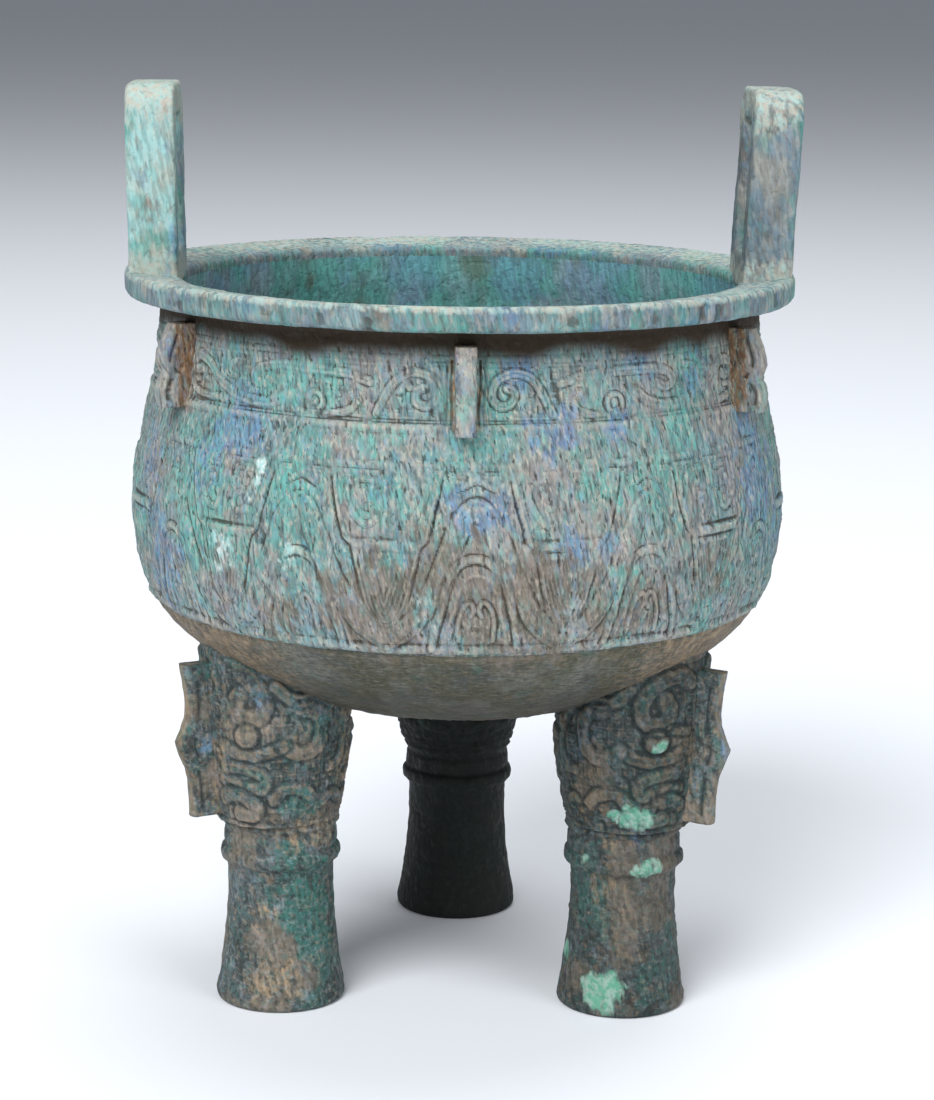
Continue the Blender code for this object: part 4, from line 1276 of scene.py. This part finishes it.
def make_blotch_group():
    """Ragged stains of one size; a stretch below 1 draws them out upright."""
    tree, given, result = new_group("blotches", [
        ("Size", "NodeSocketFloat", 0.01),
        ("Stretch", "NodeSocketFloat", 1.0),
        ("Low", "NodeSocketFloat", 0.45),
        ("High", "NodeSocketFloat", 0.55),
        ("Place", "NodeSocketFloat", 0.0),
        ("Detail", "NodeSocketFloat", COARSE_DETAIL),
    ], [("Mask", "NodeSocketFloat")])
    _, drawn = leaning_place(tree, given.outputs["Stretch"])
    moved = add_node(tree, "ShaderNodeVectorMath", {0: drawn, 1: given.outputs["Place"]},
                     operation="ADD")
    scale = sums(tree, "DIVIDE", 1.0, given.outputs["Size"])
    noise = add_node(tree, "ShaderNodeTexNoise", {
        "Vector": moved.outputs[0], "Scale": scale, "Detail": given.outputs["Detail"],
        "Roughness": 0.66,
    })
    mask = ramped(tree, noise.outputs[0], given.outputs["Low"], given.outputs["High"])
    tree.links.new(mask, result.inputs["Mask"])
    return tree


def make_grain_group():
    """Fine upright streaks, pinholes and crumbs for the bump, and a mask of the streaks."""
    tree, given, result = new_group("brushed crust", [
        ("Streaks", "NodeSocketFloat", 0.5),
        ("Crumbs", "NodeSocketFloat", 0.5),
    ], [("Height", "NodeSocketFloat"), ("Streak mask", "NodeSocketFloat")])
    where, drawn = leaning_place(tree, STREAK_STRETCH)
    streaks = add_node(tree, "ShaderNodeTexNoise", {
        "Vector": drawn, "Scale": 950.0, "Detail": 1.5, "Roughness": 0.6,
    })
    crumbs = add_node(tree, "ShaderNodeTexNoise", {
        "Vector": where, "Scale": 620.0, "Detail": 2.5, "Roughness": 0.7,
    })
    pinholes = add_node(tree, "ShaderNodeTexNoise", {"Vector": where, "Scale": 520.0, "Detail": 0.0})
    holes = ramped(tree, pinholes.outputs[0], 0.28, 0.42)
    streak_part = sums(tree, "MULTIPLY", streaks.outputs[0], given.outputs["Streaks"])
    crumb_part = sums(tree, "MULTIPLY", crumbs.outputs[0], given.outputs["Crumbs"])
    both = sums(tree, "ADD", streak_part, crumb_part)
    hole_part = sums(tree, "MULTIPLY", holes, 0.25)
    height = sums(tree, "ADD", both, hole_part)
    tree.links.new(height, result.inputs["Height"])
    mask = ramped(tree, streaks.outputs[0], 0.36, 0.64)
    tree.links.new(mask, result.inputs["Streak mask"])
    return tree


def make_relief_group():
    """Masks for the bottoms of grooves and for edges that stand proud: dirt in the cut grooves with
    painted shade in every hollow, and a painted highlight with wear on the proud edges.
    """
    tree, given, result = new_group("grooves and edges", [
        ("Groove", "NodeSocketFloat", 1.0),
        ("Edge", "NodeSocketFloat", 1.0),
    ], [("Groove mask", "NodeSocketFloat"), ("Edge mask", "NodeSocketFloat")])
    proud = add_node(tree, "ShaderNodeAttribute", attribute_name="proud").outputs["Fac"]
    recess = add_node(tree, "ShaderNodeAttribute", attribute_name="recess").outputs["Fac"]
    sunk = ramped(tree, proud, -0.15, -0.95)
    cut = sums(tree, "MULTIPLY", recess, 0.8)
    deeper = sums(tree, "MAXIMUM", sunk, cut)
    groove = sums(tree, "MULTIPLY", deeper, given.outputs["Groove"])
    edge = sums(tree, "MULTIPLY", ramped(tree, proud, 0.12, 0.9), given.outputs["Edge"])
    tree.links.new(groove, result.inputs["Groove mask"])
    tree.links.new(edge, result.inputs["Edge mask"])
    return tree


BLOTCHES = make_blotch_group()
GRAIN = make_grain_group()
RELIEF = make_relief_group()


def from_sight(red, green, blue):
    """A colour as a screen shows it, 0 to 255, for a shader."""
    linear = []
    for value in (red, green, blue):
        share = value / 255.0
        linear.append(share / 12.92 if share <= 0.04045 else ((share + 0.055) / 1.055) ** 2.4)
    return (*linear, 1.0)


# Crust colours
TEAL = from_sight(94, 162, 157)
TURQUOISE = from_sight(104, 178, 168)
PALE_TURQUOISE = from_sight(162, 206, 204)
DEEP_TEAL = from_sight(56, 112, 104)
GREY_BLUE = from_sight(132, 154, 166)
AZURITE = from_sight(108, 154, 190)
DEEP_AZURITE = from_sight(100, 132, 178)
MAUVE = from_sight(146, 138, 145)
TAUPE = from_sight(134, 123, 114)
STONE = from_sight(150, 152, 148)
CREAM = from_sight(196, 190, 174)
# Pale colours: a painted highlight on the rim's top, and the pale ends of the handles.
HIGHLIGHT_AND_WORN_PALE = from_sight(160, 182, 176)
HIGHLIGHT_AND_WORN_CREAM = from_sight(172, 170, 158)
BLUSH = from_sight(182, 158, 148)
SAND = from_sight(168, 146, 118)
UMBER = from_sight(114, 105, 92)
RUST = from_sight(132, 94, 58)
OCHRE = from_sight(160, 120, 76)
MOSS = from_sight(92, 92, 74)
SLATE = from_sight(84, 92, 94)
CHARCOAL = from_sight(50, 56, 54)
INK = from_sight(40, 48, 48)
DARK_BROWN = from_sight(50, 40, 28)
MINT = from_sight(126, 206, 176)
PALE_MINT = from_sight(186, 224, 208)
CHALK = from_sight(222, 232, 228)
BLACK_GREEN = from_sight(14, 22, 18)


def blotches(tree, size, place, low, high, stretch=1.0):
    made = add_node(tree, "ShaderNodeGroup")
    made.node_tree = BLOTCHES
    detail = FINE_DETAIL if size < FINE_BLOTCH else COARSE_DETAIL
    for label, value in (("Size", size), ("Stretch", stretch), ("Low", low), ("High", high),
                         ("Place", place), ("Detail", detail)):
        made.inputs[label].default_value = value
    return made.outputs[0]


def stain_mask(tree, name, size, place, full=1.0):
    """A painted stain broken up by fine blotches."""
    painted = add_node(tree, "ShaderNodeAttribute", attribute_name=name).outputs["Fac"]
    noise = blotches(tree, size, place, 0.34, 0.66, 0.45)
    both = sums(tree, "ADD", painted, sums(tree, "MULTIPLY", noise, 0.7))
    mask = ramped(tree, both, 0.4, 1.3, 0.0, full)
    return sums(tree, "MULTIPLY", mask, ramped(tree, painted, 0.02, 0.3))


def patina(name, ground, clouds, streaks, blue=1.0, green=TURQUOISE, ochres=(OCHRE, RUST),
           groove=0.8, edge=0.25, groove_colour=DARK_BROWN, edge_colour=CREAM, dark=0.0,
           pale_stain_and_highlight_colours=(MINT, PALE_MINT), tone=1.0, bump=0.75, grain_strength=0.6, roughness=0.7,
           stretch=STREAK_STRETCH):
    """Crusted bronze: soft clouds of colour, painted stains, fine streaks, dirt with painted shade in
    the grooves and hollows, worn edges with a painted highlight, soot with painted shade under the
    rim, and tone and dark, which darken a whole part and paint shade on the right and back legs and
    on the right handle.
    """
    material = bpy.data.materials.new(name)
    material.use_nodes = True
    tree = material.node_tree
    surface = tree.nodes["Principled BSDF"]

    colour = ground
    place = 0.31
    for tint, size, low, high, strength in clouds:
        mask = sums(tree, "MULTIPLY", blotches(tree, size, place, low, high, 0.65), strength)
        colour = blended(tree, mask, colour, tint)
        place += 1.37
    colour = blended(tree, stain_mask(tree, "turquoise", 0.0025, 2.9, 0.8), colour, green)
    blues = blended(tree, blotches(tree, 0.005, 7.7, 0.4, 0.6), AZURITE, DEEP_AZURITE)
    colour = blended(tree, stain_mask(tree, "azurite", 0.0025, 4.3, 0.72 * blue), colour, blues)
    browns = blended(tree, blotches(tree, 0.004, 8.3, 0.42, 0.6, 0.5), UMBER, TAUPE)
    brown_mask = stain_mask(tree, "umber", 0.003, 9.1, 0.85)
    colour = blended(tree, brown_mask, colour, browns)
    sands = blended(tree, blotches(tree, 0.002, 19.3, 0.42, 0.62, 0.4), *ochres)
    colour = blended(tree, stain_mask(tree, "ochre", 0.002, 15.7, 0.9), colour, sands)

    for number, (tint, size, low, high, strength) in enumerate(streaks):
        drawn_out = stretch * STREAK_LENGTHS[number % len(STREAK_LENGTHS)]
        mask = sums(tree, "MULTIPLY", blotches(tree, size, place, low, high, drawn_out), strength)
        colour = blended(tree, mask, colour, tint)
        place += 1.37
    colour = blended(tree, sums(tree, "MULTIPLY", brown_mask, 0.42), colour, browns)

    grain = add_node(tree, "ShaderNodeGroup")
    grain.node_tree = GRAIN
    grain.inputs["Streaks"].default_value = grain_strength
    grain.inputs["Crumbs"].default_value = 0.6
    # Streaks vary the brightness, and tone scales the whole part; the low tone of the back leg and
    # the right handle is painted shade.
    shade = ramped(tree, grain.outputs["Streak mask"], 0.0, 1.0, 0.82 * tone, 1.12 * tone)
    greys = add_node(tree, "ShaderNodeCombineColor", {0: shade, 1: shade, 2: shade})
    colour = blended(tree, 1.0, colour, greys.outputs[0], "MULTIPLY")

    relief = add_node(tree, "ShaderNodeGroup")
    relief.node_tree = RELIEF
    relief.inputs["Groove"].default_value = groove
    relief.inputs["Edge"].default_value = edge
    # Grooves take dirt, and painted shade in hollows; proud edges take a painted highlight over their
    # wear.
    colour = blended(tree, relief.outputs["Groove mask"], colour, groove_colour)
    colour = blended(tree, relief.outputs["Edge mask"], colour, edge_colour)

    # Pale stains; on the rim's top the same pale is a painted highlight.
    pale_stain_and_highlight_colours = blended(tree, blotches(tree, 0.002, 23.9, 0.42, 0.6), *pale_stain_and_highlight_colours)
    colour = blended(tree, stain_mask(tree, "pale_stain_and_highlight", 0.0018, 23.1, 0.88), colour, pale_stain_and_highlight_colours)
    # Soot with painted shade: dark under the rim's overhang, and darker towards the bottom inside and
    # underneath.
    soot_and_shade = add_node(tree, "ShaderNodeAttribute", attribute_name="soot_and_shade").outputs["Fac"]
    colour = blended(tree, soot_and_shade, colour, DARK_BROWN)
    # Darken the whole part towards black green; on the right and back legs this is painted shade.
    if dark > 0.0:
        colour = blended(tree, dark, colour, BLACK_GREEN)

    height = add_node(tree, "ShaderNodeBump", {
        "Strength": bump, "Distance": 0.0006, "Height": grain.outputs["Height"],
    })
    rough = ramped(tree, grain.outputs["Height"], 0.3, 1.0, roughness - 0.10, roughness + 0.14)
    tree.links.new(colour, surface.inputs["Base Color"])
    tree.links.new(rough, surface.inputs["Roughness"])
    tree.links.new(height.outputs["Normal"], surface.inputs["Normal"])
    surface.inputs["Metallic"].default_value = 0.0
    surface.inputs["Specular IOR Level"].default_value = 0.3
    return material


def dressed(piece, material):
    """Give a piece its finish and its place on the vessel."""
    piece.data.materials.append(material)
    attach(piece, "root")
    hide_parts("ding_vessel")


# Clouds and streaks: colour, size in metres, where a noise starts and ends to show it, strength

BOWL_CLOUDS = [
    (TEAL, 0.020, 0.42, 0.60, 0.8),
    (GREY_BLUE, 0.012, 0.44, 0.62, 0.6),
    (MAUVE, 0.009, 0.50, 0.68, 0.6),
    (TURQUOISE, 0.006, 0.52, 0.68, 0.45),
    (SLATE, 0.0045, 0.52, 0.68, 0.45),
    (CREAM, 0.0040, 0.53, 0.68, 0.40),
]
BOWL_STREAKS = [
    (BLUSH, 0.0011, 0.50, 0.68, 0.38),
    (AZURITE, 0.0015, 0.53, 0.70, 0.34),
    (TURQUOISE, 0.0013, 0.53, 0.68, 0.34),
    (CREAM, 0.0009, 0.54, 0.68, 0.52),
    (SLATE, 0.0010, 0.52, 0.67, 0.62),
    (INK, 0.0010, 0.61, 0.69, 0.72),
]
RIM_CLOUDS = [
    (PALE_TURQUOISE, 0.012, 0.42, 0.62, 0.5),
    (TEAL, 0.008, 0.48, 0.64, 0.6),
    (CREAM, 0.007, 0.52, 0.68, 0.6),
]
RIM_STREAKS = [
    (BLUSH, 0.0012, 0.50, 0.70, 0.34),
    (TURQUOISE, 0.0014, 0.52, 0.70, 0.34),
    (CREAM, 0.0011, 0.54, 0.70, 0.40),
    (SLATE, 0.0012, 0.52, 0.70, 0.50),
]
FIN_CLOUDS = [
    (GREY_BLUE, 0.008, 0.44, 0.62, 0.6),
    (MAUVE, 0.006, 0.46, 0.64, 0.7),
    (CREAM, 0.006, 0.52, 0.68, 0.5),
]
INSIDE_CLOUDS = [
    (GREY_BLUE, 0.018, 0.38, 0.60, 0.85),
    (DEEP_TEAL, 0.012, 0.50, 0.68, 0.4),
    (MOSS, 0.014, 0.48, 0.66, 0.65),
]
INSIDE_STREAKS = [
    (SLATE, 0.0016, 0.52, 0.68, 0.30),
    (TEAL, 0.0020, 0.52, 0.68, 0.35),
]
UNDER_CLOUDS = [
    (STONE, 0.014, 0.42, 0.62, 0.35),
    (SLATE, 0.009, 0.48, 0.64, 0.6),
    (DEEP_TEAL, 0.010, 0.56, 0.70, 0.4),
]
UNDER_STREAKS = [
    (SAND, 0.0030, 0.54, 0.68, 0.35),
    (STONE, 0.0030, 0.52, 0.66, 0.45),
    (DARK_BROWN, 0.0030, 0.54, 0.66, 0.60),
]
LEG_CLOUDS = [
    (CHARCOAL, 0.010, 0.42, 0.60, 0.75),
    (DEEP_TEAL, 0.008, 0.52, 0.68, 0.6),
    (GREY_BLUE, 0.005, 0.54, 0.70, 0.45),
    (RUST, 0.006, 0.58, 0.72, 0.4),
]
LEG_STREAKS = [
    (STONE, 0.0020, 0.48, 0.70, 0.50),
    (SAND, 0.0014, 0.54, 0.74, 0.40),
    (GREY_BLUE, 0.0018, 0.52, 0.72, 0.40),
    (DEEP_TEAL, 0.0022, 0.50, 0.70, 0.55),
    (INK, 0.0015, 0.48, 0.68, 0.65),
]
HANDLE_CLOUDS = [
    (CREAM, 0.012, 0.46, 0.64, 0.6),
    (TURQUOISE, 0.010, 0.50, 0.68, 0.45),
    (AZURITE, 0.008, 0.54, 0.70, 0.4),
]
HANDLE_STREAKS = [
    (CREAM, 0.0014, 0.50, 0.68, 0.35),
    (BLUSH, 0.0016, 0.54, 0.70, 0.30),
    (SLATE, 0.0013, 0.56, 0.70, 0.35),
]


def build_vessel():
    wall_patina = patina("bowl_patina", STONE, BOWL_CLOUDS, BOWL_STREAKS, tone=0.80,
                         pale_stain_and_highlight_colours=(PALE_TURQUOISE, CHALK))
    rim_patina = patina("rim_patina", GREY_BLUE, RIM_CLOUDS, RIM_STREAKS, blue=0.8, groove=0.5,
                        edge=0.3, tone=0.61, pale_stain_and_highlight_colours=(HIGHLIGHT_AND_WORN_PALE, HIGHLIGHT_AND_WORN_CREAM))
    inside_patina = patina("inside_patina", TEAL, INSIDE_CLOUDS, INSIDE_STREAKS, blue=0.5, green=TEAL,
                           groove=0.3, edge=0.1, dark=0.06)
    under_patina = patina("underside_patina", MOSS, UNDER_CLOUDS, UNDER_STREAKS, groove=0.5,
                          edge=0.15, edge_colour=SAND, dark=0.17, tone=0.78, stretch=6.0,
                          grain_strength=0.3, ochres=(SAND, UMBER))
    on_legs = {
        "clouds": LEG_CLOUDS, "streaks": LEG_STREAKS, "green": DEEP_TEAL, "ochres": (SAND, UMBER),
        "edge_colour": SAND, "groove_colour": INK, "stretch": 0.8,
    }
    leg_patina = patina("leg_patina", SLATE, edge=0.3, dark=0.19, tone=1.06, roughness=0.6, **on_legs)
    # The right leg gets a darker copy of the leg finish: painted shade away from the key light, over
    # its darker crust.
    right_leg_shaded_patina = patina("right_leg_shaded_patina", SLATE, edge=0.25, dark=0.44, roughness=0.6,
                              **on_legs)
    # The back leg and its flange get a near-black copy of the leg finish: painted shade for a leg
    # behind the bowl, away from the lights.
    shaded_back_leg_patina = patina("back_leg_painted_shade_patina", CHARCOAL, edge=0.1, dark=0.93, tone=0.5, roughness=0.6,
                         **on_legs)
    left_handle_patina = patina("left_handle_patina", PALE_TURQUOISE, HANDLE_CLOUDS, HANDLE_STREAKS,
                                blue=0.8, ochres=(CREAM, BLUSH), groove=0.4, edge=0.3, tone=0.75,
                                pale_stain_and_highlight_colours=(HIGHLIGHT_AND_WORN_PALE, HIGHLIGHT_AND_WORN_CREAM))
    # The right handle is toned darker than the left: painted shade away from the key light, with a
    # greyer crust.
    right_handle_shaded_patina = patina("right_handle_shaded_patina", GREY_BLUE, HANDLE_CLOUDS, HANDLE_STREAKS,
                                 blue=0.7, ochres=(STONE, BLUSH), groove=0.4, edge=0.3, tone=0.57,
                                 pale_stain_and_highlight_colours=(HIGHLIGHT_AND_WORN_PALE, HIGHLIGHT_AND_WORN_CREAM))
    fin_patina = patina("flange_patina", STONE, FIN_CLOUDS, BOWL_STREAKS, edge=0.25, tone=0.72,
                        ochres=(OCHRE, RUST))
    leg_fin_patina = patina("leg_flange_patina", SLATE, edge=0.45, dark=0.12, **on_legs)

    for name, start, columns, rows in (
        ("wall_front_left", -118.0, WALL_FRONT_COLUMNS, WALL_FRONT_ROWS),
        ("wall_front_right", 2.0, WALL_FRONT_COLUMNS, WALL_FRONT_ROWS),
        ("wall_back", 122.0, WALL_BACK_COLUMNS, WALL_BACK_ROWS),
    ):
        dressed(wall_sheet(name, start, start + WALL_SPAN, columns, rows), wall_patina)
    dressed(rim(), rim_patina)
    dressed(inside(), inside_patina)
    dressed(underside(), under_patina)
    for index, (word, finish) in enumerate((("left", leg_patina), ("right", right_leg_shaded_patina),
                                            ("back", shaded_back_leg_patina))):
        dressed(upper_leg("leg_mask_" + word, index), finish)
        dressed(leg_shaft("leg_shaft_" + word, index), finish)
        flange = fin("leg_flange_" + word, LEG_AZIMUTHS[index], LEG_FIN_SIDE, LEG_FIN_THICKNESS,
                     LEG_FIN_ROOT, LEG_FIN_GROOVES, LEG_FIN_ROWS, index, 8.0)
        dressed(flange, shaded_back_leg_patina if word == "back" else leg_fin_patina)
    for index in range(6):
        azimuth = ORNAMENT_TURN + 60.0 * index
        flange = fin("bowl_flange_%d" % (index + 1), azimuth, BOWL_FIN_SIDE, BOWL_FIN_THICKNESS,
                     BOWL_FIN_ROOT, BOWL_FIN_GROOVES, BOWL_FIN_ROWS, index + 4, 8.8)
        dressed(flange, fin_patina)
    dressed(handle("handle_left", -90.0, LEFT_LEAN, 0), left_handle_patina)
    dressed(handle("handle_right", 90.0, RIGHT_LEAN, 1), right_handle_shaded_patina)


# Floor, light and camera

FLOOR_HALF_SIZE = 20.0
LENS = 95.8
SENSOR_WIDTH = 36.0
NEAREST_SEEN = 0.01


def studio():
    floor_mesh = bpy.data.meshes.new("floor")
    half = FLOOR_HALF_SIZE
    floor_mesh.from_pydata([(-half, -half, 0), (half, -half, 0), (half, half, 0), (-half, half, 0)],
                           [], [(0, 1, 2, 3)])
    floor = bpy.data.objects.new("floor", floor_mesh)
    bpy.context.scene.collection.objects.link(floor)
    paper = bpy.data.materials.new("pale_paper")
    paper.use_nodes = True
    sheet = paper.node_tree.nodes["Principled BSDF"]
    sheet.inputs["Base Color"].default_value = from_sight(236, 240, 246)
    sheet.inputs["Roughness"].default_value = 0.9
    floor_mesh.materials.append(paper)

    world = bpy.data.worlds.new("studio")
    world.use_nodes = True
    world.node_tree.nodes["Background"].inputs["Color"].default_value = from_sight(222, 227, 233)
    world.node_tree.nodes["Background"].inputs["Strength"].default_value = 0.28
    bpy.context.scene.world = world

    for name, place, size, power in (
        ("soft_key", (-1.15, -2.40, 2.60), 2.3, 134.0),
        ("soft_fill", (2.00, -1.90, 1.50), 1.9, 30.0),
        ("soft_top", (0.20, 0.60, 2.60), 1.6, 34.0),
    ):
        lamp = bpy.data.lights.new(name, "AREA")
        lamp.shape = "DISK"
        lamp.size = size
        lamp.energy = power
        holder = bpy.data.objects.new(name, lamp)
        holder.location = place
        aim = Vector((0.0, 0.0, 0.13)) - Vector(place)
        holder.rotation_euler = aim.to_track_quat("-Z", "Y").to_euler()
        bpy.context.scene.collection.objects.link(holder)
    bpy.context.scene.view_settings.view_transform = "Standard"


def photo_camera():
    """The camera's place is counted in radii of the rim, as it was fitted."""
    unit = 0.088
    distance = 8.7528 * unit
    height = 3.1109 * unit
    pitch = math.radians(11.5676)
    azimuth = math.radians(0.85)
    yaw = math.radians(-0.2036)
    roll = math.radians(0.696)
    place = Vector((distance * math.sin(azimuth), -distance * math.cos(azimuth), height))
    level = Vector((-math.sin(azimuth + yaw), math.cos(azimuth + yaw), 0.0))
    up_axis = Vector((0.0, 0.0, 1.0))
    forward = level * math.cos(pitch) - up_axis * math.sin(pitch)
    right = Vector((math.cos(azimuth + yaw), math.sin(azimuth + yaw), 0.0))
    up = right.cross(forward)
    right_rolled = right * math.cos(roll) + up * math.sin(roll)
    up_rolled = up * math.cos(roll) - right * math.sin(roll)
    camera = bpy.data.objects.new("photo_camera", bpy.data.cameras.new("photo_camera"))
    axes = Matrix((right_rolled, up_rolled, -forward)).transposed().to_4x4()
    camera.matrix_world = Matrix.Translation(place) @ axes
    camera.data.lens = LENS
    camera.data.sensor_width = SENSOR_WIDTH
    camera.data.clip_start = NEAREST_SEEN
    bpy.context.scene.collection.objects.link(camera)
    bpy.context.scene.camera = camera


build_vessel()
studio()
photo_camera()
